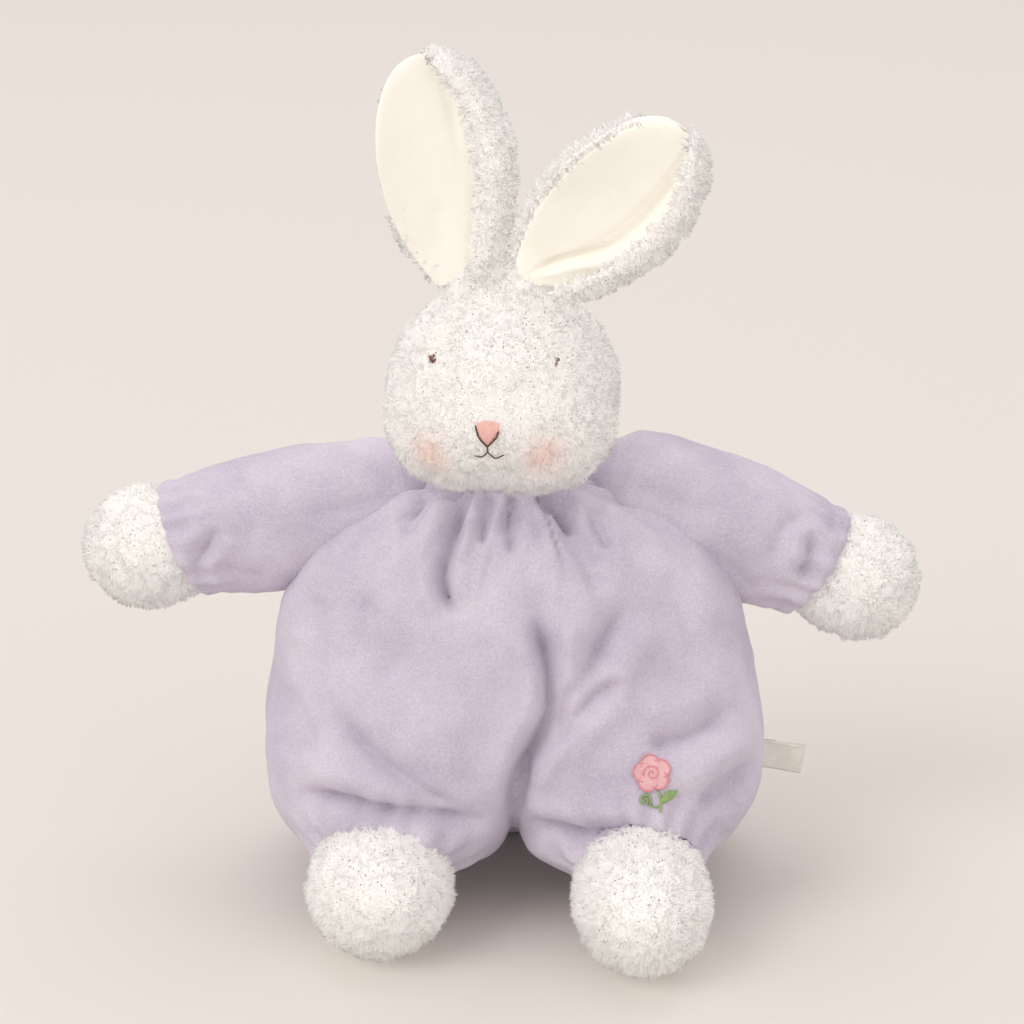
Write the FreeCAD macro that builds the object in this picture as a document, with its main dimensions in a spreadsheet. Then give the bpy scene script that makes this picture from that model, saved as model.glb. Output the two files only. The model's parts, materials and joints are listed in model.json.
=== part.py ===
# Seated stuffed rabbit in a romper suit, built as separate sewn pieces on their fill.
# Units are millimetres. +Z is up, the toy faces -Y, and "left" is the toy's own left (+X).
# The origin is the centre of the flat seat panel's underside, which rests on the floor.
import FreeCAD, Part
import math
import os

import Sketcher
from FreeCAD import Placement, Rotation, Vector

# ---------------------------------------------------------------- driving dimensions
CLOTH = dict(
    velour_thick=1.8, plush_thick=2.6, thread_wire=0.7,
    seam_gap=0.5, fill_gap=0.4, joint_gap=1.2,
)
# torso bag sections: name, height, half width, half depth, centre Y
TORSO = [
    ("seat", 2.0, 50, 17, 0),
    ("low", 8.0, 69, 29, -5),
    ("under", 19.0, 86, 46, -19),
    ("hip", 30.0, 96, 59, -33),
    ("lobe", 41.0, 100.5, 68, -42),
    ("belly", 57.0, 102.5, 71.5, -46),
    ("waist", 86.0, 99.5, 67, -45),
    ("chest", 112.0, 92.5, 61, -43),
    ("yoke", 136.0, 79.0, 51, -42),
    ("collar", 150.0, 63.0, 43, -42),
    ("neck", 160.0, 45.0, 35, -42),
]
TRUNK = dict(
    side_seam_y=-36, torso_fill_floor_z=5.6,
    seat_panel_wide=48, seat_panel_deep=15.5, seat_panel_shift=0, seat_panel_thick=1.6,
    pellet_wide=32, pellet_deep=17, pellet_high=12.5, pellet_y=-8, pellet_z=21,
    tail_ball=19, tail_y=38, tail_z=42, tail_flat_y=26.5,
    label_long=19, label_high=12.5, label_tape=0.5, label_fold=0.5,
)
HEAD_AND_NECK = dict(
    neck_y=-42, neck_z=164, neck_stub_outer=15.0, neck_stub_inner=13.0, neck_band_half=11,
    neck_fill_ball=12.6, neck_socket=15.9, neck_thread_radius=26.6, neck_thread_z=161.2,
    head_x=-4, head_y=-48, head_z=212, head_wide=46.5, head_deep=43.5, head_high=41.5,
    head_yaw=-8, gusset_half=15,
    eye_high=2.9, eye_wide=2.2, eye_deep=1.0, nose_thick=1.6,
    ear_root_ball=7.5, ear_socket=8.4, ear_curve=30, ear_lining_thick=1.4,
    ear_layer_gap=0.3, ear_back_thick=3.4, ear_long=43, ear_wide=25.5, ear_middle=53.5,
    ear_strap_half=6.5,
)
LIMBS = dict(
    shoulder_x=54, shoulder_y=-29, shoulder_right_z=155.3, shoulder_left_z=157.8,
    shoulder_ball=24, shoulder_fill_ball=19.5, arm_near=27.0, arm_full=28.0, arm_far=26.0,
    cuff_ring=22.6, wrist_set_back=11, wrist_socket=24.2,
    hand_ball=22, hand_wide=24.5, hand_long=26.5, hand_offset=9,
    hip_x=51, hip_y=-64, hip_z=54, leg_ball=50, ankle_socket=28.2,
    foot_ball=25.5, foot_high=27.0, foot_right_wide=29.3, foot_left_wide=27.6,
    foot_right_long=32.0, foot_left_long=35.0, foot_right_offset=12, foot_left_offset=16,
    foot_flat_z=0.6, foot_seam_z=11.0, flower_thick=1.0,
)

doc = FreeCAD.newDocument("SeatedRabbit")


def fill_sheet():
    """Puts every dimension in the spreadsheet under its alias and returns them by name."""
    values = {**CLOTH, **TRUNK, **HEAD_AND_NECK, **LIMBS}
    for section, *numbers in TORSO:
        for column, value in zip(("z", "wide", "deep", "shift"), numbers):
            values[f"torso_{section}_{column}"] = value
    sheet = doc.addObject("Spreadsheet::Sheet", "Sizes")
    for row, (alias, value) in enumerate(values.items(), 1):
        sheet.set(f"A{row}", alias)
        sheet.set(f"B{row}", str(value))
        sheet.setAlias(f"B{row}", alias)
    doc.recompute()
    return {alias: float(value) for alias, value in values.items()}


size = fill_sheet()
HALF_SEAM = size["seam_gap"] / 2

# what is taken off an outer radius to reach the cloth's inside and the fill
OUTSIDE = ()
VELOUR_INSIDE = ("velour_thick",)
VELOUR_FILL = ("velour_thick", "fill_gap")
PLUSH_INSIDE = ("plush_thick",)
PLUSH_FILL = ("plush_thick", "fill_gap")

# ---------------------------------------------------------------- joints and poses
SIDES = {-1: "right", 1: "left"}
ORIGIN = Vector(0, 0, 0)
X_AXIS, Y_AXIS, Z_AXIS = Vector(1, 0, 0), Vector(0, 1, 0), Vector(0, 0, 1)

HIPS = {side: Vector(side * size["hip_x"], size["hip_y"], size["hip_z"]) for side in SIDES}
SHOULDERS = {
    side: Vector(side * size["shoulder_x"], size["shoulder_y"], size[f"shoulder_{word}_z"])
    for side, word in SIDES.items()
}
NECK = Vector(0, size["neck_y"], size["neck_z"])
HEAD = Vector(size["head_x"], size["head_y"], size["head_z"])
HEAD_YAW = Rotation(Z_AXIS, size["head_yaw"])

# root on the head, lean towards +X, lean forwards, turn about the ear's own length
EARS = {
    -1: dict(at=Vector(-21.0, -41.0, 249.0), lean=-9.5, forward=1.0, turn=14.0),
    1: dict(at=Vector(3.5, -41.0, 250.8), lean=41.5, forward=15.0, turn=8.0),
}
# angle below the horizon, shoulder centre to cuff, slope of the clearance plane underneath
ARMS = {
    -1: dict(drop=11.0, long=78.0, underarm=30.0),
    1: dict(drop=22.0, long=74.0, underarm=38.0),
}
# ankle centre, angle from the leg's axis to the gathering thread as seen from the hip
LEGS = {
    -1: dict(ankle=Vector(-53.0, -111.0, 27.8), thread_angle=35),
    1: dict(ankle=Vector(50.0, -120.0, 27.8), thread_angle=29),
}

# ---------------------------------------------------------------- expressions and bookkeeping
PIECES = []  # the finished sub-parts, in order


def keep(piece, label):
    """Marks an object as a finished sub-part under this label."""
    piece.Label = label
    PIECES.append(piece)


def bind(target, **expressions):
    """Binds properties to expressions; a double underscore stands for a dot."""
    for path, expression in expressions.items():
        target.setExpression(path.replace("__", "."), expression)


def ref(name, *less, plus=0):
    """The expression for a dimension, less other dimensions, plus a number."""
    expression = " - ".join(f"Sizes.{alias}" for alias in (name, *less))
    return f"{expression} + {plus}" if plus else expression


def radii(prefix, *less, plus=0):
    """The high, wide and deep radii of an ellipsoid, as expressions."""
    return [ref(f"{prefix}_{way}", *less, plus=plus) for way in ("high", "wide", "deep")]


# ---------------------------------------------------------------- solids and booleans
def sphere(name, radius, at=ORIGIN, pole=Z_AXIS):
    ball = doc.addObject("Part::Sphere", name)
    bind(ball, Radius=radius)
    ball.Placement = Placement(at, Rotation(Z_AXIS, pole))
    return ball


def ellipsoid(name, high, wide, deep, at=ORIGIN, turn=Rotation()):
    """high along local Z, wide along X, deep along Y."""
    solid = doc.addObject("Part::Ellipsoid", name)
    bind(solid, Radius1=high, Radius2=wide, Radius3=deep)
    solid.Angle1, solid.Angle2, solid.Angle3 = -90, 90, 360
    solid.Placement = Placement(at, turn)
    return solid


def cylinder(name, radius, height, at, turn=Rotation()):
    solid = doc.addObject("Part::Cylinder", name)
    solid.Radius, solid.Height = radius, height
    solid.Placement = Placement(at, turn)
    return solid


def torus(name, radius, wire, sweep, placement):
    solid = doc.addObject("Part::Torus", name)
    solid.Radius1, solid.Radius2, solid.Angle3 = radius, wire, sweep
    solid.Placement = placement
    return solid


def box(name, low, high, turn=Rotation(), about=ORIGIN):
    """A box between two corners, turned about its own origin, which lies at about."""
    solid = doc.addObject("Part::Box", name)
    solid.Length, solid.Width, solid.Height = (high[i] - low[i] for i in range(3))
    solid.Placement = Placement(about + turn.multVec(Vector(*low)), turn)
    return solid


def half_space(name, axis, sign, at, span=260):
    """A big box on one side of a plane across a world axis."""
    low, high = [-span] * 3, [span] * 3
    (low if sign > 0 else high)[axis] = at
    return box(name, low, high)


def cut(name, base, tool):
    result = doc.addObject("Part::Cut", name)
    result.Base, result.Tool = base, tool
    return result


def cuts(name, base, *tools):
    for i, tool in enumerate(tools):
        base = cut(name if i == len(tools) - 1 else f"{name}_step{i}", base, tool)
    return base


def common(name, base, tool):
    result = doc.addObject("Part::Common", name)
    result.Base, result.Tool = base, tool
    return result


def fuse(name, *shapes):
    result = doc.addObject("Part::MultiFuse", name)
    result.Shapes = list(shapes)
    return result


def loft(name, sections):
    result = doc.addObject("Part::Loft", name)
    result.Sections, result.Solid, result.Ruled = sections, True, False
    return result


# ---------------------------------------------------------------- sketched bodies
def sketch_on(body, name, role):
    sketch = body.newObject("Sketcher::SketchObject", name)
    plane = [feature for feature in body.Origin.OriginFeatures if feature.Role == role][0]
    sketch.AttachmentSupport = [(plane, "")]
    sketch.MapMode = "FlatFace"
    return sketch


def padded_body(name, sketch_name, role, geometry, thick, constraints=()):
    """A body with one padded sketch; thick names the pad's dimension."""
    body = doc.addObject("PartDesign::Body", name + "_body")
    sketch = sketch_on(body, sketch_name, role)
    for item in geometry:
        sketch.addGeometry(item)
    for constraint in constraints:
        sketch.addConstraint(constraint)
    doc.recompute()
    pad = body.newObject("PartDesign::Pad", name + "_pad")
    pad.Profile = sketch
    bind(pad, Length=ref(thick))
    doc.recompute()
    return body, pad


def gather_thread(label, radius, placement):
    """A gathering thread: a round section revolved about local Z."""
    wire = size["thread_wire"]
    body = doc.addObject("PartDesign::Body", label + "_body")
    sketch = sketch_on(body, label + "_section", "XZ_Plane")
    sketch.addGeometry(Part.Circle(Vector(radius, 0, 0), Z_AXIS, wire))
    sketch.addConstraint(Sketcher.Constraint("Radius", 0, wire))
    sketch.renameConstraint(0, "wire")
    sketch.addConstraint(Sketcher.Constraint("DistanceX", -1, 1, 0, 3, radius))
    sketch.addConstraint(Sketcher.Constraint("PointOnObject", 0, 3, -1))
    sketch.setExpression("Constraints.wire", ref("thread_wire"))
    doc.recompute()
    ring = body.newObject("PartDesign::Revolution", label + "_ring")
    ring.Profile, ring.ReferenceAxis, ring.Angle = sketch, (sketch, ["V_Axis"]), 360
    body.Tip = ring
    body.Placement = placement
    doc.recompute()
    keep(body, label)


# ---------------------------------------------------------------- placing on surfaces
def axes_placement(x_axis, y_axis, z_axis, at):
    """A placement from where its local axes and origin go."""
    rows = [value for row in zip(x_axis, y_axis, z_axis, at) for value in row]
    return Placement(FreeCAD.Matrix(*rows, 0, 0, 0, 1))


def facing(point, normal):
    """A placement whose local -Y looks along normal and whose local Z stays near world Z."""
    y_axis = normal * -1
    x_axis = y_axis.cross(Z_AXIS)
    x_axis.normalize()
    return axes_placement(x_axis, y_axis, x_axis.cross(y_axis), point)


def on_head(x, z, out):
    """Faces outwards from the head's front at x, z in the head's own axes, out off the surface."""
    wide, deep, high = size["head_wide"], size["head_deep"], size["head_high"]
    y = -deep * math.sqrt(1 - (x / wide) ** 2 - (z / high) ** 2)
    normal = Vector(x / wide**2, y / deep**2, z / high**2)
    normal.normalize()
    point = Vector(x, y, z) + normal * out
    return facing(HEAD + HEAD_YAW.multVec(point), HEAD_YAW.multVec(normal))


def on_left_leg(x, up_degrees, out):
    """Faces outwards from the front of the left leg ball, out off the surface."""
    up = math.radians(up_degrees)
    normal = Vector(x / size["leg_ball"], -math.cos(up), math.sin(up))
    normal.normalize()
    return facing(HIPS[1] + normal * (size["leg_ball"] + out), normal)


# ---------------------------------------------------------------- torso bag
def torso_loft(name, layer):
    rings = []
    for i, (section, *_) in enumerate(TORSO):
        prefix = f"torso_{section}"
        ring = doc.addObject("Part::Ellipse", f"{name}_{section}")
        # only the lowest ring is raised by the cloth, the others keep their height
        raised = layer if i == 0 else ()
        bind(
            ring,
            MajorRadius=ref(f"{prefix}_wide", *layer),
            MinorRadius=ref(f"{prefix}_deep", *layer),
            Placement__Base__y=ref(f"{prefix}_shift"),
            Placement__Base__z=" + ".join(ref(alias) for alias in (f"{prefix}_z", *raised)),
        )
        rings.append(ring)
    return loft(name, rings)


def foot_sweep(name, side, extra):
    """A sector of a cylinder round the hip's cross axis, as wide as the foot."""
    reach = 110
    x_inner, x_outer = 19 - extra, 86.5 + extra
    low, high = -84 - extra, 38 + extra  # degrees above straight ahead
    start = math.radians(low)
    side_on = start + math.pi / 2
    sector = doc.addObject("Part::Cylinder", name)
    sector.Radius, sector.Height, sector.Angle = reach, x_outer - x_inner, high - low
    sector.Placement = axes_placement(
        Vector(0, -math.cos(start), math.sin(start)),
        Vector(0, -math.cos(side_on), math.sin(side_on)),
        Vector(-1, 0, 0),
        Vector(max(side * x_inner, side * x_outer), size["hip_y"], size["hip_z"]),
    )
    return sector


def underarm_space(name, side, extra):
    """The space outwards of and above a sloping plane under the arm."""
    shoulder = SHOULDERS[side]
    slope = Rotation(Y_AXIS, side * ARMS[side]["underarm"])
    drop = size["arm_full"] + 1.6 + extra
    foot = Vector(shoulder.x, 0, shoulder.z) + slope.multVec(Vector(0, 0, -drop))
    x_low, x_high = sorted((0, side * 160))
    return box(name, (x_low, -180, 0), (x_high, 90, 90), slope, foot)


def torso_tools(tag, extra):
    """What the neck, arms and legs take out of the torso, extra larger all round."""
    joint = ref("joint_gap", plus=extra)
    tools = []
    for side, word in SIDES.items():
        tools += [
            sphere(f"{tag}_hip_{word}", f"{ref('leg_ball')} + {joint}", HIPS[side]),
            sphere(f"{tag}_shoulder_{word}", f"{ref('shoulder_ball')} + {joint}", SHOULDERS[side]),
            underarm_space(f"{tag}_arm_{word}", side, extra),
            foot_sweep(f"{tag}_sweep_{word}", side, extra),
        ]
    tools.append(sphere(f"{tag}_neck", ref("neck_socket", plus=extra), NECK))
    low, high = (-21 - extra, -160, -5), (21 + extra, -72 + extra, 50 + extra)
    tools.append(box(f"{tag}_crotch", low, high))
    return tools


def romper_panels():
    """The torso cloth in four panels, parted at the middle and at the side seams."""
    seam_y = size["side_seam_y"]
    outer = torso_loft("torso_outer", OUTSIDE)
    skin = cut("torso_skin_full", outer, torso_loft("torso_inner", VELOUR_INSIDE))
    skin = cuts("torso_skin", skin, *torso_tools("skin", 0))
    for side, word in SIDES.items():
        side_space = half_space(f"space_x_{word}", 0, side, side * HALF_SEAM)
        for sign, end in ((-1, "front"), (1, "back")):
            name = f"{end}_{word}"
            depth = half_space(f"space_{name}", 1, sign, seam_y + sign * HALF_SEAM)
            quarter = common(f"quarter_{name}", side_space, depth)
            # under the seat the back panel runs on in front of the side seams
            x_low, x_high = sorted((side * HALF_SEAM, side * 53.0))
            low, high = (x_low, -76, -8), (x_high, seam_y + HALF_SEAM, 23.2)
            under = box(f"under_{name}", low, high)
            adjust = cut if end == "front" else fuse
            quarter = adjust(f"space_{name}_open", quarter, under)
            keep(common(f"panel_{name}", skin, quarter), f"romper_{name}")


def torso_filling():
    """The torso fill, with a cavity for the pellet bag, and the bag itself."""
    pellet_at = Vector(0, size["pellet_y"], size["pellet_z"])
    core = torso_loft("torso_core", VELOUR_FILL)
    cavity = ellipsoid("pellet_cavity", *radii("pellet", plus=0.5), pellet_at)
    # the filling stops a little above the seat
    floor = half_space("fill_floor", 2, -1, size["torso_fill_floor_z"])
    keep(cuts("torso_fill_cut", core, *torso_tools("fill", 1.3), cavity, floor), "torso_fill")
    keep(ellipsoid("pellet_bag_solid", *radii("pellet"), pellet_at), "seat_pellet_bag")


def seat_panel():
    """A flat elliptical disc with its underside at Z 0."""
    outline = Part.Ellipse(ORIGIN, size["seat_panel_wide"], size["seat_panel_deep"])
    body, _ = padded_body("seat", "seat_outline", "XY_Plane", [outline], "seat_panel_thick")
    body.Placement = Placement(Vector(0, size["seat_panel_shift"], 0), Rotation())
    keep(body, "seat_panel")


def tail():
    """A pompom cut flat on the side towards the torso."""
    ball = sphere("tail_sphere", ref("tail_ball"), Vector(0, size["tail_y"], size["tail_z"]))
    trim = half_space("tail_trim", 1, -1, size["tail_flat_y"])
    keep(cut("tail_cut", ball, trim), "tail_pompom")


# ---------------------------------------------------------------- neck and head
def neck():
    thread_at = Vector(0, size["torso_neck_shift"], size["neck_thread_z"])
    thread_place = Placement(thread_at, Rotation())
    gather_thread("neck_gather_thread", size["neck_thread_radius"], thread_place)
    keep(sphere("neck_fill_sphere", ref("neck_fill_ball"), NECK), "neck_fill")
    shell = cut(
        "neck_stub_shell",
        sphere("neck_stub_out", ref("neck_stub_outer"), NECK),
        sphere("neck_stub_in", ref("neck_stub_inner"), NECK),
    )
    half = size["neck_band_half"]
    band = box("neck_band", (-30, -30, -half), (30, 30, half), about=NECK)
    keep(common("neck_stub_band", shell, band), "neck_stub")


def head_tools(neck_name, ear_prefix, extra):
    """The sockets for the neck and both ears."""
    sockets = [sphere(neck_name, ref("neck_socket", plus=extra), NECK)]
    for side, word in SIDES.items():
        radius = ref("ear_socket", plus=extra)
        sockets.append(sphere(f"{ear_prefix}_{word}", radius, EARS[side]["at"]))
    return sockets


def head():
    """A middle gusset and two side panels round the head fill."""
    outer, inner, core = (
        ellipsoid(name, *radii("head", *layer), HEAD, HEAD_YAW)
        for name, layer in (
            ("head_out", OUTSIDE), ("head_in", PLUSH_INSIDE), ("head_core", PLUSH_FILL),
        )
    )
    skin = cut("head_skin_full", outer, inner)
    skin = cuts("head_skin", skin, *head_tools("head_neck_tool", "ear_socket", 0))
    reach, gusset = 90, size["gusset_half"]
    low, high = (-gusset, -reach, -reach), (gusset, reach, reach)
    space = box("gusset_space", low, high, HEAD_YAW, HEAD)
    keep(common("head_gusset_cut", skin, space), "head_gusset")
    for side, word in SIDES.items():
        x_low, x_high = sorted((side * (gusset + size["seam_gap"]), side * reach))
        low, high = (x_low, -reach, -reach), (x_high, reach, reach)
        space = box(f"head_space_{word}", low, high, HEAD_YAW, HEAD)
        keep(common(f"head_side_cut_{word}", skin, space), f"head_side_{word}")
    keep(cuts("head_fill_cut", core, *head_tools("fill_neck_tool", "fill_ear", 0.8)), "head_fill")


def eyes():
    for side, word in SIDES.items():
        eye = ellipsoid(f"eye_solid_{word}", *radii("eye"))
        eye.Placement = on_head(side * 22.5, 17.2, 1.4)
        keep(eye, f"eye_{word}")


def nose():
    """A triangular satin-stitch pad, point down, with rounded corners."""
    corners = [Vector(-6.2, 4.6, 0), Vector(6.2, 4.6, 0), Vector(0.0, -7.0, 0)]
    lines = [Part.LineSegment(corners[i], corners[(i + 1) % 3]) for i in range(3)]
    joins = [Sketcher.Constraint("Coincident", i, 2, (i + 1) % 3, 1) for i in range(3)]
    body, pad = padded_body("nose", "nose_outline", "XZ_Plane", lines, "nose_thick", joins)
    # the three edges that run through the pad's thickness
    through = [
        f"Edge{i + 1}"
        for i, edge in enumerate(pad.Shape.Edges)
        if abs(abs(edge.tangentAt(edge.FirstParameter).y) - 1) < 1e-6
    ]
    rounding = body.newObject("PartDesign::Fillet", "nose_round")
    rounding.Base, rounding.Radius = (pad, through), 1.5
    body.Tip = rounding
    body.Placement = on_head(0, -5.0, 0.7)
    doc.recompute()
    keep(body, "nose_embroidery")


def mouth():
    """A stem and two shallow curves of thread."""
    curves = []
    for side, start in ((-1, 221), (1, 211)):
        turn = Rotation(X_AXIS, 90) * Rotation(Z_AXIS, start)
        place = Placement(Vector(side * 3.45, 0, 3.1), turn)
        curves.append(torus(f"mouth_curve_{SIDES[side]}", 4.2, 0.45, 108, place))
    stem = cylinder("mouth_stem", 0.62, 4.0, Vector(0, 0, 0.3))
    stitch = fuse("mouth_fuse", stem, *curves)
    stitch.Placement = on_head(0, -14.6, 1.1)
    keep(stitch, "mouth_stitch")


# ---------------------------------------------------------------- ears
def ear_leaf(tag, word):
    """The ear's outline as a prism along Y: an upright oval with a strap at its root."""
    oval = doc.addObject("Part::Ellipse", f"leaf_{tag}_{word}")
    bind(oval, MajorRadius=ref("ear_long"), MinorRadius=ref("ear_wide"))
    upright = Rotation(X_AXIS, 90) * Rotation(Z_AXIS, 90)
    oval.Placement = Placement(Vector(0, 40, size["ear_middle"]), upright)
    prism = doc.addObject("Part::Extrusion", f"leaf_prism_{tag}_{word}")
    prism.Base, prism.Dir, prism.Solid = oval, Vector(0, -80, 0), True
    prism.DirMode = "Custom"
    prism.LengthFwd = 80
    half = size["ear_strap_half"]
    low, high = (-half, -40, size["ear_socket"] + 0.6), (half, 40, 26)
    return fuse(f"leaf_fuse_{tag}_{word}", prism, box(f"strap_{tag}_{word}", low, high))


def ear_tube(tag, word, inner, outer):
    """The rear part of an upright tube, which gives the ear cloth its curve."""
    curve = size["ear_curve"]
    tubes = []
    for end, radius in (("o", outer), ("i", inner)):
        tube = cylinder(f"tube_{tag}_{end}_{word}", 1, 140, Vector(0, -curve - 1.5, -5))
        bind(tube, Radius=radius)
        tubes.append(tube)
    rear = half_space(f"tube_front_{tag}_{word}", 1, 1, -curve + 2)
    return common(f"tube_half_{tag}_{word}", cut(f"tube_{tag}_{word}", *tubes), rear)


def ear(side, word):
    pose = EARS[side]
    turn = (
        Rotation(Y_AXIS, pose["lean"])
        * Rotation(X_AXIS, pose["forward"])
        * Rotation(Z_AXIS, pose["turn"])
    )
    root = sphere(f"ear_root_ball_{word}", ref("ear_root_ball"), pose["at"])
    keep(root, f"ear_root_{word}")

    lining_front = ref("ear_curve")
    lining_rear = f"{lining_front} + {ref('ear_lining_thick')}"
    back_front = f"{lining_rear} + {ref('ear_layer_gap')}"
    back_rear = f"{back_front} + {ref('ear_back_thick')}"
    for tag, inner, outer in (
        ("lining", lining_front, lining_rear),
        ("back", back_front, back_rear),
    ):
        tube = ear_tube(tag, word, inner, outer)
        cloth = common(f"{tag}_{word}", tube, ear_leaf(tag, word))
        cloth.Placement = Placement(pose["at"], turn)
        keep(cloth, f"ear_{tag}_{word}")


# ---------------------------------------------------------------- arms
# share of the sleeve's length, radius there
SLEEVE_RINGS = [
    (0.0, "shoulder_ball"),
    (0.27, "arm_near"),
    (0.58, "arm_full"),
    (0.85, "arm_far"),
    (1.0, "cuff_ring"),
]


def sleeve_solid(tag, long, layer):
    """A barrel along local Z with a ball at the shoulder."""
    rings = []
    for i, (share, radius) in enumerate(SLEEVE_RINGS):
        ring = doc.addObject("Part::Circle", f"{tag}_ring{i}")
        bind(ring, Radius=ref(radius, *layer))
        ring.Placement = Placement(Vector(0, 0, share * long), Rotation())
        rings.append(ring)
    barrel = loft(f"{tag}_barrel", rings)
    return fuse(f"{tag}_solid", barrel, sphere(f"{tag}_ball", ref("shoulder_ball", *layer)))


def hand_solid(tag, wrist, layer):
    """A bulb on a ball that sits in the cuff."""
    ball = sphere(f"{tag}_ball", ref("hand_ball", *layer), wrist)
    wide = ref("hand_wide", *layer)
    centre = wrist + Vector(0, 0, size["hand_offset"])
    bulb = ellipsoid(f"{tag}_bulb", ref("hand_long", *layer), wide, wide, centre)
    return fuse(f"{tag}_solid", ball, bulb)


def sleeve(side, word, place, wrist):
    long = ARMS[side]["long"]
    # the hollow runs a little past the cuff to open it
    cloth = cuts(
        f"sleeve_cut_{word}",
        sleeve_solid(f"sleeve_out_{word}", long, OUTSIDE),
        sleeve_solid(f"sleeve_in_{word}", long + 0.4, VELOUR_INSIDE),
        sphere(f"wrist_tool_{word}", ref("wrist_socket"), wrist),
    )
    cloth.Placement = place
    keep(cloth, f"sleeve_{word}")

    fill = cuts(
        f"arm_fill_cut_{word}",
        sleeve_solid(f"sleeve_core_{word}", long, VELOUR_FILL),
        sphere(f"arm_fill_shoulder_{word}", ref("shoulder_fill_ball", plus=0.8)),
        sphere(f"arm_fill_wrist_{word}", ref("wrist_socket", plus=0.6), wrist),
    )
    fill.Placement = place
    keep(fill, f"arm_fill_{word}")

    thread_place = place * Placement(Vector(0, 0, long - 6.5), Rotation())
    gather_thread(f"wrist_gather_thread_{word}", size["cuff_ring"] + 3.2, thread_place)


def hand(word, place, wrist):
    skin = cut(
        f"hand_skin_{word}",
        hand_solid(f"hand_out_{word}", wrist, OUTSIDE),
        hand_solid(f"hand_in_{word}", wrist, PLUSH_INSIDE),
    )
    for sign, end in ((-1, "front"), (1, "back")):
        space = half_space(f"hand_space_{end}_{word}", 1, sign, sign * HALF_SEAM)
        panel = common(f"hand_cut_{end}_{word}", skin, space)
        panel.Placement = place
        keep(panel, f"hand_{end}_{word}")
    fill = hand_solid(f"hand_core_{word}", wrist, PLUSH_FILL)
    fill.Placement = place
    keep(fill, f"hand_fill_{word}")


def arm(side, word):
    """Built along local Z from the shoulder, then laid out sideways."""
    shoulder = SHOULDERS[side]
    place = Placement(shoulder, Rotation(Y_AXIS, side * (90 + ARMS[side]["drop"])))
    wrist = Vector(0, 0, ARMS[side]["long"] + size["wrist_set_back"])
    fill_ball = sphere(f"shoulder_fill_ball_{word}", ref("shoulder_fill_ball"), shoulder)
    keep(fill_ball, f"shoulder_fill_{word}")
    sleeve(side, word, place, wrist)
    hand(word, place, wrist)


# ---------------------------------------------------------------- legs and feet
def leg(side, word):
    hip, ankle = HIPS[side], LEGS[side]["ankle"]
    # the balls' poles lie along the line from hip to ankle
    away = ankle - hip
    away.normalize()
    skin = cuts(
        f"leg_skin_{word}",
        sphere(f"leg_out_{word}", ref("leg_ball"), hip, away),
        sphere(f"leg_in_{word}", ref("leg_ball", *VELOUR_INSIDE), hip, away),
        sphere(f"ankle_tool_{word}", ref("ankle_socket"), ankle, away),
    )
    # the two cloth halves meet in a plane through the hip, across X
    for sign, part in ((side, "outer"), (-side, "inner")):
        space = half_space(f"leg_space_{part}_{word}", 0, sign, hip.x + sign * HALF_SEAM)
        keep(common(f"leg_cut_{part}_{word}", skin, space), f"leg_{part}_{word}")

    core = sphere(f"leg_core_{word}", ref("leg_ball", *VELOUR_FILL), hip, away)
    socket = sphere(f"leg_fill_ankle_{word}", ref("ankle_socket", plus=0.6), ankle, away)
    keep(cut(f"leg_fill_cut_{word}", core, socket), f"leg_fill_{word}")

    # the thread lies just off the leg ball, round its opening
    angle = math.radians(LEGS[side]["thread_angle"])
    reach = size["leg_ball"] + 1.1
    place = Placement(hip + away * (reach * math.cos(angle)), Rotation(Z_AXIS, away))
    gather_thread(f"ankle_gather_thread_{word}", reach * math.sin(angle), place)


def foot_bulb(name, side, word, layer):
    return ellipsoid(
        name,
        ref("foot_high", *layer),
        ref(f"foot_{word}_wide", *layer),
        ref(f"foot_{word}_long", *layer),
        LEGS[side]["ankle"] - Vector(0, size[f"foot_{word}_offset"], 0),
    )


def foot_solid(tag, side, word, layer):
    """A bulb in front of a ball that sits in the trouser leg."""
    ball = sphere(f"{tag}_ball", ref("foot_ball", *layer), LEGS[side]["ankle"])
    return fuse(f"{tag}_solid", ball, foot_bulb(f"{tag}_bulb", side, word, layer))


def foot(side, word):
    flat = half_space(f"foot_flat_{word}", 2, 1, size["foot_flat_z"])
    skin = cut(
        f"foot_skin_{word}",
        foot_solid(f"foot_out_{word}", side, word, OUTSIDE),
        foot_solid(f"foot_in_{word}", side, word, PLUSH_INSIDE),
    )
    skin = common(f"foot_skin_flat_{word}", skin, flat)
    for sign, tag, part in ((1, "top", "upper"), (-1, "sole", "sole")):
        seam_z = size["foot_seam_z"] + sign * HALF_SEAM
        space = half_space(f"foot_{tag}_space_{word}", 2, sign, seam_z)
        keep(common(f"foot_{tag}_cut_{word}", skin, space), f"foot_{part}_{word}")
    keep(foot_bulb(f"foot_core_{word}", side, word, PLUSH_FILL), f"foot_fill_{word}")


# ---------------------------------------------------------------- flower on the left leg
def flower():
    """A patch outlined by petal arcs that meet in valleys."""
    petals, valley_radius, tip_radius = 5, 6.272, 8.2

    def rim(radius, angle):
        return Vector(radius * math.cos(angle), radius * math.sin(angle), 0)

    arcs = []
    for i in range(petals):
        start = 2 * math.pi * i / petals + math.pi / 2
        end = 2 * math.pi * (i + 1) / petals + math.pi / 2
        tip = rim(tip_radius, (start + end) / 2)
        arcs.append(Part.Arc(rim(valley_radius, start), tip, rim(valley_radius, end)))
    body, _ = padded_body("flower", "flower_outline", "XZ_Plane", arcs, "flower_thick")
    body.Placement = on_left_leg(2.5, 21.5, 2.0)
    keep(body, "flower_patch")


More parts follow.
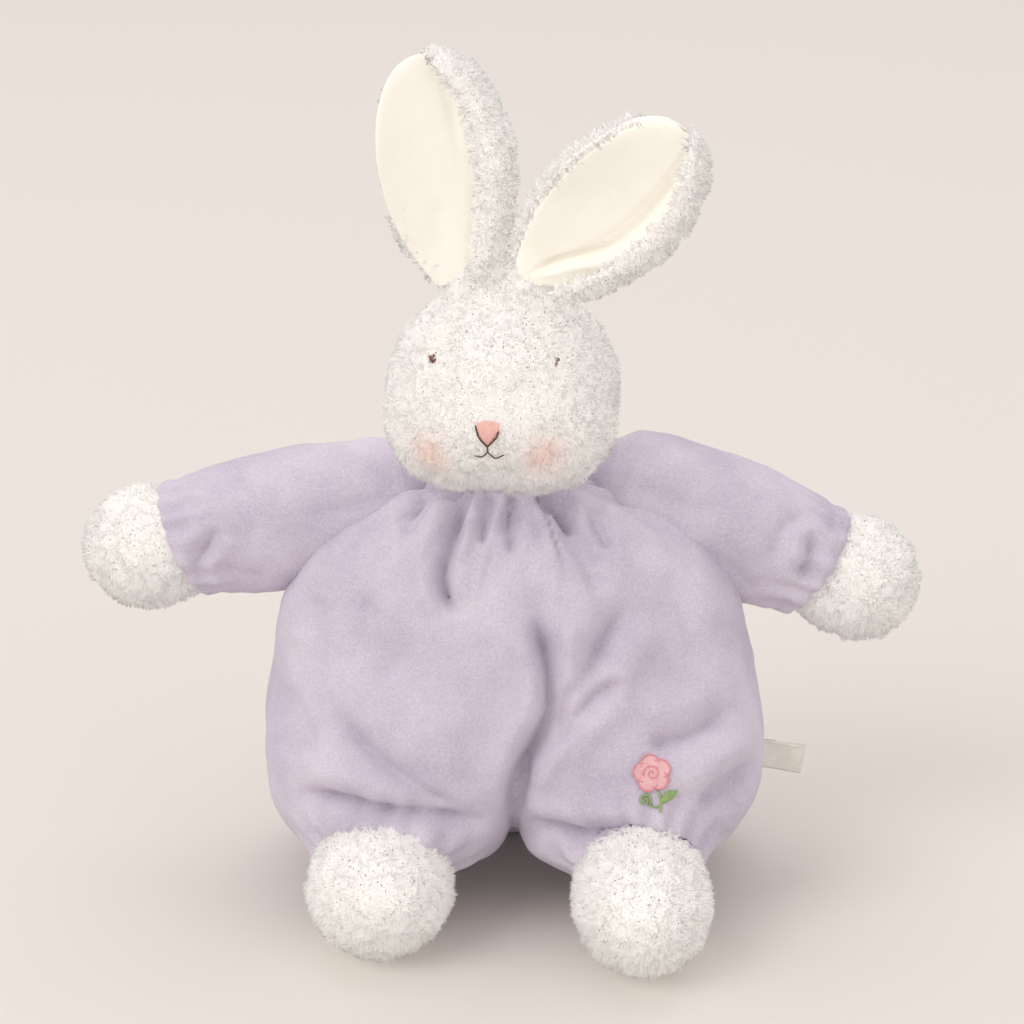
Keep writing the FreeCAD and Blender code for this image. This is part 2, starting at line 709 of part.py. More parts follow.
def flower_stem():
    """The stem below the flower, with a leaf on one side and a curl on the other."""
    stem = cylinder("flower_stem_solid", 0.7, 7.8, Vector(0.5, 0, -3.3))
    leaf_turn = Rotation(Y_AXIS, 62)
    leaf = ellipsoid("flower_leaf_solid", "4.2", "1.9", "0.7", Vector(4.4, 0, 1.2), leaf_turn)
    curl_place = Placement(Vector(-4.6, 0, 0.2), Rotation(X_AXIS, 90))
    curl = torus("flower_curl_solid", 2.6, 0.6, 300, curl_place)
    link = cylinder("flower_curl_arm", 0.6, 3.4, Vector(-2.4, 0, 1.4), Rotation(Y_AXIS, 70))
    stitch = fuse("flower_leaf_fuse", stem, leaf, curl, link)
    stitch.Placement = on_left_leg(5.0, 8.5, 1.2)
    keep(stitch, "flower_stem")


# ---------------------------------------------------------------- label in the left side seam
def side_label():
    """A tape folded back on itself, its fold outwards."""
    long, inner = size["label_long"], size["label_fold"] / 2
    outer = inner + size["label_tape"]
    bend = long - outer  # where the straight tape ends and the fold begins
    outline = [
        Part.LineSegment(Vector(0, -outer, 0), Vector(bend, -outer, 0)),
        Part.Arc(Vector(bend, -outer, 0), Vector(long, 0, 0), Vector(bend, outer, 0)),
        Part.LineSegment(Vector(bend, outer, 0), Vector(0, outer, 0)),
        Part.LineSegment(Vector(0, outer, 0), Vector(0, inner, 0)),
        Part.LineSegment(Vector(0, inner, 0), Vector(bend, inner, 0)),
        Part.Arc(Vector(bend, inner, 0), Vector(bend + inner, 0, 0), Vector(bend, -inner, 0)),
        Part.LineSegment(Vector(bend, -inner, 0), Vector(0, -inner, 0)),
        Part.LineSegment(Vector(0, -inner, 0), Vector(0, -outer, 0)),
    ]
    body, _ = padded_body("label", "label_fold", "XY_Plane", outline, "label_high")
    turn = Rotation(Z_AXIS, 4) * Rotation(Y_AXIS, 13)
    body.Placement = Placement(Vector(103.2, size["side_seam_y"], 46.5), turn)
    keep(body, "side_label")


# ---------------------------------------------------------------- check and export
def check():
    bad = [o.Name for o in doc.Objects if any(word in o.State for word in ("Invalid", "Error"))]
    if bad:
        raise SystemExit(f"objects failed to recompute: {bad}")
    seen = set()
    for piece in PIECES:
        shape = piece.Shape
        if shape.isNull() or not shape.isValid() or not shape.Solids or shape.Volume <= 0:
            raise SystemExit(f"{piece.Label} has no valid solid")
        if piece.Label in seen:
            raise SystemExit(f"two sub-parts are named {piece.Label}")
        seen.add(piece.Label)


def export():
    os.makedirs("parts", exist_ok=True)
    for piece in PIECES:
        piece.Shape.exportStep(os.path.join("parts", piece.Label + ".step"))


for build in (romper_panels, torso_filling, seat_panel, tail, neck, head, eyes, nose, mouth):
    build()
for build in (ear, arm, leg, foot):
    for side, word in SIDES.items():
        build(side, word)
for build in (flower, flower_stem, side_label):
    build()
doc.recompute()
check()
export()
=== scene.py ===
"""A seated white plush with long ears, in a lilac velour romper.

It sits on z = 0 and faces -Y, with its own left at +X and its tail at +Y.
Shapes are worked out in mm and turned to metres when their meshes are made.
"""

import json
import math
from collections import namedtuple

import bmesh
import bpy
import numpy as np
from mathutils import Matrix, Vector
from mathutils.bvhtree import BVHTree
from mathutils.kdtree import KDTree


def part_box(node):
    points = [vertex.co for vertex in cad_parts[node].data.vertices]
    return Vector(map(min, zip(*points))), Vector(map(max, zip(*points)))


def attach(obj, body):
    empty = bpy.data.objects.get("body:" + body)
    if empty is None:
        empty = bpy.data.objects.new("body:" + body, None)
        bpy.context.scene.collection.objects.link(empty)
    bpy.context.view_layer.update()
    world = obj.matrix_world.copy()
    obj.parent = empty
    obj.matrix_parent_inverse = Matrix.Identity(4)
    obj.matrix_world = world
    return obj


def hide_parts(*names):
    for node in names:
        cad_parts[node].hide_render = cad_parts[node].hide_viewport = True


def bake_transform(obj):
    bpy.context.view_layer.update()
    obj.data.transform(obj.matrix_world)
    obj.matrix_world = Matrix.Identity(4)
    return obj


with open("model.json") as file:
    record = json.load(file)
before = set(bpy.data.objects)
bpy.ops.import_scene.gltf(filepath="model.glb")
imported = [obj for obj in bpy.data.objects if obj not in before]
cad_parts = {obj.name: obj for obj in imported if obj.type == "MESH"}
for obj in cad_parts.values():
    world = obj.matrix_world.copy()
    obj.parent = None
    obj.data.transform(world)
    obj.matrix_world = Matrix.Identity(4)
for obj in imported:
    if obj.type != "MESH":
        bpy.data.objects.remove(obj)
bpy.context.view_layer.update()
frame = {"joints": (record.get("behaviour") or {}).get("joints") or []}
JOINT = {j["name"]: np.array(j["pos_m"], float) * 1000 for j in frame["joints"]}
SIDES = (("right", -1), ("left", 1))
MM = 0.001  # metres
TURN = 2 * math.pi


def node_box(*nodes):
    """Low and high corners, in metres, of the box round these nodes."""
    low = np.min([np.array(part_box(n)[0]) for n in nodes], 0)
    high = np.max([np.array(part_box(n)[1]) for n in nodes], 0)
    return low, high


def middle(*nodes):
    """Centre of the box round these nodes, in mm."""
    low, high = node_box(*nodes)
    return (low + high) * 500


def half_x(node):
    """Half the width of a node, in mm."""
    low, high = node_box(node)
    return (high - low)[0] * 500


# ------------------------------------------------------------------ numbers
def length(v):
    return np.linalg.norm(v, axis=-1)


def unit(v):
    v = np.asarray(v, float)
    return v / np.maximum(np.linalg.norm(v, axis=-1, keepdims=True), 1e-12)


def rotation(axis, degrees):
    angle = math.radians(degrees)
    cos, sin = math.cos(angle), math.sin(angle)
    k = "xyz".index(axis)
    plane = ((k + 1) % 3, (k + 2) % 3)
    matrix = np.eye(3)
    matrix[np.ix_(plane, plane)] = [[cos, -sin], [sin, cos]]
    return matrix


def ramp(start, end, x):
    """Smooth rise from 0 at start to 1 at end; start may be the larger."""
    t = np.clip((np.asarray(x, float) - start) / (end - start), 0, 1)
    return t * t * (3 - 2 * t)


def bell(x, width):
    return np.exp(-((x / width) ** 2))


def blob(p, centre, spread):
    """Round bump of height 1 about a centre; spread is a squared distance."""
    return np.exp(-(((p - centre) ** 2).sum(-1)) / spread)


def circle(angles, first, second):
    """Unit circle in the plane of two directions."""
    return np.cos(angles)[:, None] * first + np.sin(angles)[:, None] * second


def noise(points, cell, seed=0):
    """Smooth lattice noise in -1..1."""
    scaled = np.asarray(points, float) / cell + seed * 7.31
    lattice = np.floor(scaled).astype(np.int64)
    share = scaled - lattice
    share = share * share * share * (share * (share * 6 - 15) + 10)

    def value(dx, dy, dz):
        n = (
            (lattice[..., 0] + dx) * 73856093
            ^ (lattice[..., 1] + dy) * 19349663
            ^ (lattice[..., 2] + dz) * 83492791
            ^ (seed * 265443576)
        ) & 0xFFFFFFFF
        n = ((n ^ (n >> 13)) * 1274126177) & 0xFFFFFFFF
        n = ((n ^ (n >> 15)) * 2246822519) & 0xFFFFFFFF
        return ((n ^ (n >> 16)) & 0xFFFFFF) / 0xFFFFFF * 2 - 1

    x, y, z = share[..., 0], share[..., 1], share[..., 2]

    def along_x(dy, dz):
        return value(0, dy, dz) * (1 - x) + value(1, dy, dz) * x

    low = along_x(0, 0) * (1 - y) + along_x(1, 0) * y
    high = along_x(0, 1) * (1 - y) + along_x(1, 1) * y
    return low * (1 - z) + high * z


def flat_noise(seed, x, y=0.0):
    """Noise over one or two plain coordinates."""
    return noise(np.stack(np.broadcast_arrays(x, y, 0.0), -1), 1.0, seed)


def gradient(field, p, reach):
    moves = reach * np.eye(3)
    return np.stack([field(p + m) - field(p - m) for m in moves], -1) / (2 * reach)


# ------------------------------------------------------------------ distance fields
def soft_min(a, b, width):
    share = np.clip(0.5 + 0.5 * (b - a) / width, 0, 1)
    return b * (1 - share) + a * share - width * share * (1 - share)


def soft_max(a, b, width):
    return -soft_min(-a, -b, width)


def oval(offsets, radii):
    """Near distance to an ellipse or ellipsoid, from offsets along its axes."""
    ratio = np.sqrt(sum((o / r) ** 2 for o, r in zip(offsets, radii)))
    slope = np.sqrt(sum((o / (r * r)) ** 2 for o, r in zip(offsets, radii)))
    return ratio * (ratio - 1) / np.maximum(slope, 1e-6)


def ellipsoid(p, centre, radii, turned=None):
    offset = p - np.asarray(centre, float)
    if turned is not None:
        offset = offset @ turned
    return oval(np.moveaxis(offset, -1, 0), np.broadcast_to(np.asarray(radii, float), 3))


def ball(p, centre, radius):
    return np.sqrt(((p - np.asarray(centre, float)) ** 2).sum(-1)) - radius


# ------------------------------------------------------------------ meshing
# A shape is a pair: points in mm, and a list of face arrays of quads or triangles.
def surface(field, low, high, cell):
    """Closed quad shape where the field is 0, with a point in each grid cell it crosses."""
    low, high = np.asarray(low, float), np.asarray(high, float)
    size = np.ceil((high - low) / cell).astype(int) + 1
    axes = [low[k] + cell * np.arange(size[k]) for k in range(3)]
    values = np.empty(size, np.float32)
    for i in range(0, size[0], 16):
        slab = np.meshgrid(axes[0][i : i + 16], axes[1], axes[2], indexing="ij")
        values[i : i + 16] = field(np.stack(slab, -1))
    inside = values < 0
    corners = list(np.ndindex(2, 2, 2))
    filled = np.zeros(size - 1, np.int8)
    for x, y, z in corners:
        filled += inside[x : x + size[0] - 1, y : y + size[1] - 1, z : z + size[2] - 1]
    active = (filled > 0) & (filled < 8)
    cells = np.argwhere(active)
    index = np.full(active.shape, -1, np.int64)
    index[active] = np.arange(len(cells))

    # each point is the mean of the places where the field crosses its cell's edges
    total, crossings = np.zeros((len(cells), 3)), np.zeros(len(cells))
    for corner in corners:
        for k in range(3):
            if corner[k]:
                continue
            edge = np.eye(3, dtype=int)[k]
            near = values[tuple((cells + corner).T)]
            far = values[tuple((cells + corner + edge).T)]
            crossed = (near < 0) != (far < 0)
            share = np.where(crossed, near / np.where(crossed, near - far, 1), 0)
            place = np.array(corner, float) + np.outer(share, edge)
            total[crossed] += place[crossed]
            crossings[crossed] += 1
    points = (cells + total / crossings[:, None]) * cell + low

    quads = []
    for axis in range(3):
        order = (axis, (axis + 1) % 3, (axis + 2) % 3)
        solid, ids = inside.transpose(order), index.transpose(order)
        i, j, k = np.nonzero(solid[:-1, 1:-1, 1:-1] != solid[1:, 1:-1, 1:-1])
        j, k = j + 1, k + 1
        quad = np.stack([ids[i, j - 1, k - 1], ids[i, j, k - 1], ids[i, j, k], ids[i, j - 1, k]], -1)
        flipped = ~solid[i, j, k]
        quad[flipped] = quad[flipped][:, ::-1]
        quads.append(quad)

    # pull the points onto the surface
    for _ in range(2):
        slope = gradient(field, points, 0.05)
        steep = np.maximum((slope * slope).sum(-1), 0.05)
        move = -(field(points) / steep)[:, None] * slope
        limit = 0.8 * cell / np.maximum(length(move)[:, None], 1e-9)
        points = points + move * np.minimum(1, limit)
    return points, [np.concatenate(quads)]


def triangles(faces):
    parts = []
    for f in faces:
        parts += [f[:, [0, 1, 2]], f[:, [0, 2, 3]]] if f.shape[1] == 4 else [f]
    return np.concatenate(parts)


def normals_of(points, faces):
    tris = triangles(faces)
    first = points[tris[:, 0]]
    cross = np.cross(points[tris[:, 1]] - first, points[tris[:, 2]] - first)
    total = np.zeros_like(points)
    for k in range(3):
        np.add.at(total, tris[:, k], cross)
    return unit(total)


def neighbour_mean(faces, count):
    """A function that averages one value per point over each point's neighbours."""
    tris = triangles(faces)
    edges = np.concatenate([tris[:, [0, 1]], tris[:, [1, 2]], tris[:, [2, 0]]])
    edges = np.concatenate([edges, edges[:, ::-1]])
    number = np.maximum(np.bincount(edges[:, 0], minlength=count), 1)

    def mean(values):
        return np.bincount(edges[:, 0], weights=values[edges[:, 1]], minlength=count) / number

    return mean


def relax(points, faces, amount):
    mean = neighbour_mean(faces, len(points))
    return points + (np.stack([mean(points[:, k]) for k in range(3)], -1) - points) * amount


def outward(points, faces):
    """Turn the faces so that the shape encloses a positive volume."""
    tris = triangles(faces)
    corners = [points[tris[:, k]] for k in range(3)]
    if (corners[0] * np.cross(corners[1], corners[2])).sum() < 0:
        faces = [f[:, ::-1] for f in faces]
    return points, faces


def loft(rings, poles=None):
    """Skin over rings of points, closed at two poles, or back on itself without them."""
    rows, sides = rings.shape[:2]
    points = rings.reshape(-1, 3)
    row = np.arange(rows if poles is None else rows - 1)[:, None] * sides
    ahead = (row + sides) % (rows * sides)
    this = np.arange(sides)
    after = (this + 1) % sides
    quads = np.stack([row + this, row + after, ahead + after, ahead + this], -1).reshape(-1, 4)
    if poles is None:
        return points, [quads]
    last = (rows - 1) * sides
    caps = [
        np.stack([np.full(sides, rows * sides), after, this], -1),
        np.stack([np.full(sides, rows * sides + 1), last + this, last + after], -1),
    ]
    return np.concatenate([points, poles]), [quads, np.concatenate(caps)]


def closed_loft(rings):
    rings = np.array(rings)
    return outward(*loft(rings, [rings[0].mean(0), rings[-1].mean(0)]))


def tube(line, radius, sides=8, closed=False):
    """Round tube along a line of points, with closed ends."""
    line = np.asarray(line, float)
    radius = np.broadcast_to(np.asarray(radius, float), (len(line),))
    if closed:
        ahead = unit(np.roll(line, -1, 0) - np.roll(line, 1, 0))
    else:
        ahead = unit(np.gradient(line, axis=0))
    up = np.array([0, 0, 1.0]) if abs(ahead[0][2]) < 0.9 else np.array([1.0, 0, 0])
    across = [unit(np.cross(ahead[0], up))]
    for i in range(1, len(line)):
        across.append(unit(across[-1] - ahead[i] * (across[-1] @ ahead[i])))
    across = np.array(across)
    other = np.cross(ahead, across)
    angles = np.linspace(0, TURN, sides, endpoint=False)
    cos, sin = np.cos(angles)[None, :, None], np.sin(angles)[None, :, None]
    rings = line[:, None] + radius[:, None, None] * (cos * across[:, None] + sin * other[:, None])
    if closed:
        return loft(rings)
    start = line[0] - ahead[0] * radius[0] * 0.5
    return loft(rings, [start, line[-1] + ahead[-1] * radius[-1] * 0.5])


def join(shapes):
    all_points, by_sides = [], {3: [], 4: []}
    offset = 0
    for points, faces in shapes:
        for f in faces:
            by_sides[f.shape[1]].append(f + offset)
        all_points.append(points)
        offset += len(points)
    return np.concatenate(all_points), [np.concatenate(v) for v in by_sides.values() if v]


def spline(stops, count):
    """Smooth line through the stops."""
    stops = np.asarray(stops, float)
    if len(stops) == 2:
        t = np.linspace(0, 1, count)[:, None]
        return stops[0] * (1 - t) + stops[1] * t
    padded = np.concatenate([[2 * stops[0] - stops[1]], stops, [2 * stops[-1] - stops[-2]]])
    along = np.linspace(0, len(stops) - 1 - 1e-9, count)
    i = along.astype(int)
    t = (along - i)[:, None]
    a, b, c, d = padded[i], padded[i + 1], padded[i + 2], padded[i + 3]
    square = (2 * a - 5 * b + 4 * c - d) * t**2
    return 0.5 * (2 * b + (c - a) * t + square + (3 * b - 3 * c + d - a) * t**3)


def make_mesh(name, points, faces):
    mesh = bpy.data.meshes.new(name)
    mesh.vertices.add(len(points))
    metres = np.asarray(points, np.float64) * MM
    mesh.vertices.foreach_set("co", metres.astype(np.float32).ravel())
    loops = np.concatenate([f.ravel() for f in faces]).astype(np.int32)
    totals = np.concatenate([np.full(len(f), f.shape[1], np.int32) for f in faces])
    starts = np.concatenate([[0], np.cumsum(totals)[:-1]]).astype(np.int32)
    mesh.loops.add(len(loops))
    mesh.loops.foreach_set("vertex_index", loops)
    mesh.polygons.add(len(totals))
    mesh.polygons.foreach_set("loop_start", starts)
    mesh.polygons.foreach_set("loop_total", totals)
    mesh.polygons.foreach_set("use_smooth", np.full(len(totals), True))
    mesh.update(calc_edges=True)
    mesh.validate()
    return mesh


def set_attribute(mesh, name, values):
    attribute = mesh.attributes.new(name, "FLOAT", "POINT")
    attribute.data.foreach_set("value", values.astype(np.float32))


def piece(name, shape, material, body, slot, *replaced):
    """Object from a mesh or a shape; body is the part it rides, or a blend's tuple, whose parts and
    ends are not used here.
    """
    mesh = shape if isinstance(shape, bpy.types.Mesh) else make_mesh(name, *shape)
    obj = bpy.data.objects.new(name, mesh)
    bpy.context.scene.collection.objects.link(obj)
    mesh.materials.append(material)
    if isinstance(body, str):
        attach(obj, body)
    else:
        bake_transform(obj)
    if replaced:
        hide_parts(*replaced)
    return obj


# ------------------------------------------------------------------ materials
def rgb(*channels):
    """Linear colour from sRGB channels of 0 to 255."""
    parts = [c / 255 for c in channels]
    return (*(c / 12.92 if c <= 0.04045 else ((c + 0.055) / 1.055) ** 2.4 for c in parts), 1)


def fill_inputs(tree, node, inputs):
    """Set each input to a plain value, or link it to the socket given."""
    for key, value in inputs.items():
        if isinstance(value, bpy.types.NodeSocket):
            tree.links.new(value, node.inputs[key])
        else:
            node.inputs[key].default_value = value


def add_node(tree, kind, inputs, **settings):
    node = tree.nodes.new("ShaderNode" + kind)
    for key, value in settings.items():
        setattr(node, key, value)
    fill_inputs(tree, node, inputs)
    return node


def mix_colour(tree, factor, first, second, **settings):
    inputs = {0: factor, 6: first, 7: second}
    return add_node(tree, "Mix", inputs, data_type="RGBA", **settings).outputs[2]


def attribute_socket(tree, name):
    return add_node(tree, "Attribute", {}, attribute_name=name).outputs["Fac"]


def new_material(name):
    material = bpy.data.materials.new(name)
    material.use_nodes = True
    return material, material.node_tree, material.node_tree.nodes["Principled BSDF"]


def cloth(
    name,
    dark,
    light,
    broad=300,  # scale of the shading of the nap
    fine=2400,  # scale of the grain and the relief
    grain=0.5,  # share of the grain in the colour
    rough=0.5,
    sheen=0.2,
    sheen_tint=(1, 1, 1, 1),
    specular=0.4,
    relief=0.5,
    relief_mm=0.2,
    stretch=(1, 1, 1),
    root_painted_shade=None,  # painted shade: darkens the colour towards the root of a strand, where the pile shades itself
    blush=None,  # colour where the blush attribute is 1
    painted_glow=0.0,  # painted glow: emission that lifts the shade in a white pile, standing in for light scattered between its fibres
):
    """Brushed or stitched textile."""
    material, tree, shader = new_material(name)
    coords = add_node(tree, "TexCoord", {}).outputs["Object"]
    mapped = add_node(tree, "Mapping", {"Scale": stretch, "Vector": coords}).outputs[0]
    nap = add_node(tree, "TexNoise", {"Scale": broad, "Detail": 3, "Vector": mapped}).outputs["Fac"]
    pile = add_node(
        tree, "TexNoise", {"Scale": fine, "Detail": 4, "Roughness": 0.7, "Vector": mapped}
    ).outputs["Fac"]
    mixed = add_node(tree, "Mix", {0: grain, 2: nap, 3: pile}, data_type="FLOAT").outputs[0]
    contrast = add_node(tree, "MapRange", {"From Min": 0.3, "From Max": 0.7, "Value": mixed})
    colour = mix_colour(tree, contrast.outputs[0], dark, light)
    # painted shade: a strand is darker at its root, fading to its own colour at the tip
    if root_painted_shade:
        root_shade = mix_colour(tree, attribute_socket(tree, "strand"), root_painted_shade, (1, 1, 1, 1))
        colour = mix_colour(tree, 1, colour, root_shade, blend_type="MULTIPLY")
    if blush:
        colour = mix_colour(tree, attribute_socket(tree, "blush"), colour, blush)
    inputs = {
        "Base Color": colour,
        "Roughness": rough,
        "Specular IOR Level": specular,
        "Sheen Weight": sheen,
        "Sheen Roughness": 0.45,
        "Sheen Tint": sheen_tint,
    }
    # painted glow: the colour is given out again as emission, so the shaded side of the fibres stays
    # light
    if painted_glow:
        inputs.update({"Emission Color": colour, "Emission Strength": painted_glow})
    if relief:
        bump = {"Strength": relief, "Distance": relief_mm * MM, "Height": pile}
        inputs["Normal"] = add_node(tree, "Bump", bump).outputs[0]
    fill_inputs(tree, shader, inputs)
    return material


VELOUR = cloth(
    "romper_velour", rgb(190, 179, 201), rgb(235, 226, 239), broad=30, fine=1000, rough=0.9,
    sheen=0.35, sheen_tint=rgb(240, 234, 246), specular=0.1, relief=0.9, relief_mm=0.8,
)
GATHER = cloth(
    "gather_thread", rgb(176, 164, 194), rgb(204, 193, 216), fine=2500, rough=0.6,
    specular=0.2, relief=0.3,
)
# backing, pile and lining carry a painted glow that lifts their shade
BACKING = cloth(
    "plush_backing", rgb(246, 244, 240), rgb(254, 252, 249), broad=120, fine=900, rough=0.95,
    sheen=0.1, specular=0.2, relief=0.4, relief_mm=0.5, blush=rgb(242, 190, 174), painted_glow=0.08,
)
# the pile's strands have painted shade at their roots
PILE = cloth(
    "white_plush", rgb(248, 246, 243), rgb(254, 252, 250), broad=160, fine=700, rough=0.9,
    sheen=0.1, specular=0.1, relief=0, root_painted_shade=(0.92, 0.91, 0.89, 1),
    blush=rgb(246, 190, 174), painted_glow=0.10,
)
LINING = cloth(
    "cream_lining", rgb(249, 245, 234), rgb(255, 252, 245), broad=60, fine=1500, grain=0.4,
    rough=0.8, sheen=0.35, sheen_tint=rgb(255, 252, 240), specular=0.15, relief=0.3,
    relief_mm=0.25, painted_glow=0.04,
)
EYE = cloth(
    "eye_thread", rgb(48, 30, 22), rgb(150, 92, 48), broad=500, fine=2600, rough=0.45,
    sheen=0.1, specular=0.5,
)
NOSE = cloth(
    "nose_thread", rgb(228, 168, 160), rgb(248, 208, 198), broad=400, stretch=(1, 1, 0.2)
)
MOUTH = cloth(
    "mouth_thread", rgb(70, 44, 36), rgb(120, 84, 70), broad=500, fine=2600, rough=0.55,
    sheen=0.1, specular=0.3, relief=0.4,
)
ROSE = cloth("flower_thread", rgb(232, 174, 180), rgb(248, 208, 211))
ROSE_DARK = cloth("flower_thread_dark", rgb(212, 134, 145), rgb(233, 162, 170))
LEAF = cloth("leaf_thread", rgb(132, 160, 100), rgb(168, 192, 132))
TAPE = cloth(
    "label_tape", rgb(226, 222, 212), rgb(246, 243, 236), broad=250, fine=2200, rough=0.6,
    specular=0.3, relief_mm=0.15,
)
FILL = cloth(
    "fibrefill", rgb(214, 212, 208), rgb(240, 239, 236), broad=120, fine=900, rough=0.95,
    sheen=0.1, specular=0.2, relief_mm=0.6,
)

# ------------------------------------------------------------------ camera place
CAMERA_TILT = math.radians(20)
CAMERA_TARGET = np.array([-0.8, -56.0, 161.0])
CAMERA_DISTANCE = 1200.0
VIEW = np.array([0, math.cos(CAMERA_TILT), -math.sin(CAMERA_TILT)])
VIEW_UP = np.array([0, math.sin(CAMERA_TILT), math.cos(CAMERA_TILT)])
CAMERA_AT = CAMERA_TARGET - CAMERA_DISTANCE * VIEW


def front_view(points):
    """Where points fall in the front view, in mm at the target's distance."""
    offset = points - CAMERA_AT
    depth = offset @ VIEW
    flat = np.stack([offset[:, 0], offset @ VIEW_UP], -1)
    return CAMERA_DISTANCE * flat / depth[:, None]


# ------------------------------------------------------------------ romper form
HIP = {sign: JOINT[f"leg_{side}_swing"] for side, sign in SIDES}
ANKLE = {sign: JOINT[f"foot_{side}_bend"] for side, sign in SIDES}
NECK = JOINT["head_turn"]
HEAD_NODES = ("head_side_left", "head_side_right", "head_gusset")
HEAD_AT = middle(*HEAD_NODES)
HEAD_TURN = rotation("z", -8)

# height, half width, front y, back y
BAG_OUTLINE = np.array(
    [
        (-4, 36, -12, 10), (2, 50, -17, 17), (8, 69, -34, 23), (19, 86, -50, 27),
        (30, 95, -70, 28), (41, 99.5, -86, 27), (57, 102, -101, 26), (75, 101.5, -111, 24),
        (95, 98.5, -112, 20), (112, 95, -108, 14), (125, 92, -103, 8), (137, 86, -97, 2),
        (147, 78, -91, -5), (155, 68, -84, -11), (162, 55, -76, -18), (167, 41, -68, -25),
        (171, 24, -58, -34), (176, 12, -50, -40),
    ],
    float,
)
# the outline resampled every 0.5 mm of height and smoothed over 14 samples each way
BAG_HEIGHTS = np.linspace(-10, 180, 381)
KERNEL = np.exp(-0.5 * (np.arange(-14, 15) / 5.0) ** 2)
KERNEL /= KERNEL.sum()
BAG_PROFILES = [
    np.convolve(
        np.pad(np.interp(BAG_HEIGHTS, BAG_OUTLINE[:, 0], BAG_OUTLINE[:, k]), 14, "edge"),
        KERNEL,
        "valid",
    )
    for k in (1, 2, 3)
]


def bag(p):
    """The body of the romper."""
    z = p[..., 2]
    half_width, front, back = (np.interp(z, BAG_HEIGHTS, q) for q in BAG_PROFILES)
    half_depth, centre = (back - front) / 2, (back + front) / 2
    d = oval((p[..., 0], p[..., 1] - centre), (half_width, half_depth))
    d = soft_max(d, z - 170.5, 9)
    return soft_max(d, 0.8 - z, 5)


def trouser_lobe(p, sign):
    """One stuffed leg: rounder on the outside, fuller towards the other leg."""
    q = p - (HIP[sign] + (0, -3, 3.5))
    below = q[..., 2] < 0
    radial = np.sqrt((q[..., 1] / 53) ** 2 + (q[..., 2] / np.where(below, 44.0, 56.0)) ** 2)
    inner = sign * q[..., 0] < 0
    across = np.abs(q[..., 0]) / np.where(inner, 53.0, 50.5)
    power = np.where(inner, 3.4, 2.0)
    d = ((across**power + radial**power) ** (1 / power) - 1) * 50
    # the trouser end that gathers round the ankle
    along = unit(ANKLE[sign] - HIP[sign])
    end = ellipsoid(p, ANKLE[sign] - along * 10 + (0, 2, 2), (26, 25, 23))
    return soft_min(d, end, 9)


def suit(p):
    legs = soft_min(trouser_lobe(p, -1), trouser_lobe(p, 1), 3)
    d = soft_min(bag(p), legs, 9)
    # round hollows that take the feet
    for sign in (-1, 1):
        d = soft_max(d, -ball(p, ANKLE[sign], 25.0), 3)
    # the drawn-in edge stands up round the neck
    q = p - (NECK + (0, 0, 6.5))
    from_ring = np.sqrt(q[..., 0] ** 2 + q[..., 1] ** 2) - 20.5
    d = soft_min(d, np.sqrt(from_ring**2 + (q[..., 2] * 0.62) ** 2) - 5.0, 6)
    # the head sits in a dimple of the gathered neck
    d = soft_max(d, -ellipsoid(p, HEAD_AT, (45.5, 42.5, 41.5), HEAD_TURN), 5)
    return soft_max(d, -ball(p, NECK, 17), 4)


# ------------------------------------------------------------------ folds
# Each fold: its line as (mm right, mm up) of the target in the front view, then its
# depth, its half width and the swell beside it.
FRONT_FOLDS = [
    ([(-16.8, 7.8), (-25.2, -11.2), (-28.4, -27.2), (-22.4, -42.8)], 4.6, 2.8, 1.8),
    ([(-0.8, 7.8), (-0.8, -18.0)], 2.8, 2.4, 1.0),
    ([(7.2, 7.8), (19.2, 0.8), (25.2, -9.2)], 2.8, 2.4, 1.0),
    ([(30.0, 0.6), (40.0, -16.8)], 2.6, 2.6, 0.9),
    ([(-8.8, 7.0), (-12.8, -13.2)], 2.2, 2.2, 0.8),
    ([(-32.8, 7.0), (-44.8, -9.2)], 1.8, 2.6, 0.6),
    ([(13.2, 8.0), (29.2, -19.2), (35.2, -35.2)], 1.6, 4.0, 0.5),
    ([(-59.2, -30.0), (-57.2, -52.0), (-45.2, -68.8)], 1.9, 5.5, 0.5),
    ([(8.8, -40.8), (14.4, -58.8), (14.0, -81.6), (4.8, -101.6), (0.0, -121.6)], 5.6, 3.6, 2.2),
    ([(46.0, -36.0), (36.0, -53.6), (22.8, -74.0), (16.0, -91.2)], 3.6, 4.6, 1.6),
    ([(44.0, -66.8), (30.8, -76.8), (13.6, -97.2)], 3.0, 3.8, 1.2),
    ([(54.4, -93.2), (71.6, -89.2), (91.2, -76.8)], 3.2, 4.6, 1.2),
    ([(74.8, -120.0), (87.2, -108.8), (100.4, -100.4)], 2.8, 4.0, 1.0),
    ([(-88.0, -112.4), (-64.8, -116.4), (-35.2, -121.6), (-7.2, -124.4)], 4.2, 3.6, 1.8),
    ([(-72.0, -79.6), (-53.2, -99.6), (-35.2, -112.4), (-20.4, -117.6)], 3.2, 4.6, 1.4),
    ([(1.2, -124.0), (27.2, -129.2), (56.4, -126.8)], 3.4, 3.0, 1.6),
    ([(-91.6, -67.2), (-84.8, -83.2), (-80.0, -99.2)], 1.4, 5.0, 0.4),
    ([(62.0, -24.0), (70.0, -44.0), (74.0, -62.0)], 1.4, 5.0, 0.5),
    ([(-76.0, -34.0), (-82.0, -52.0)], 1.2, 5.0, 0.4),
]
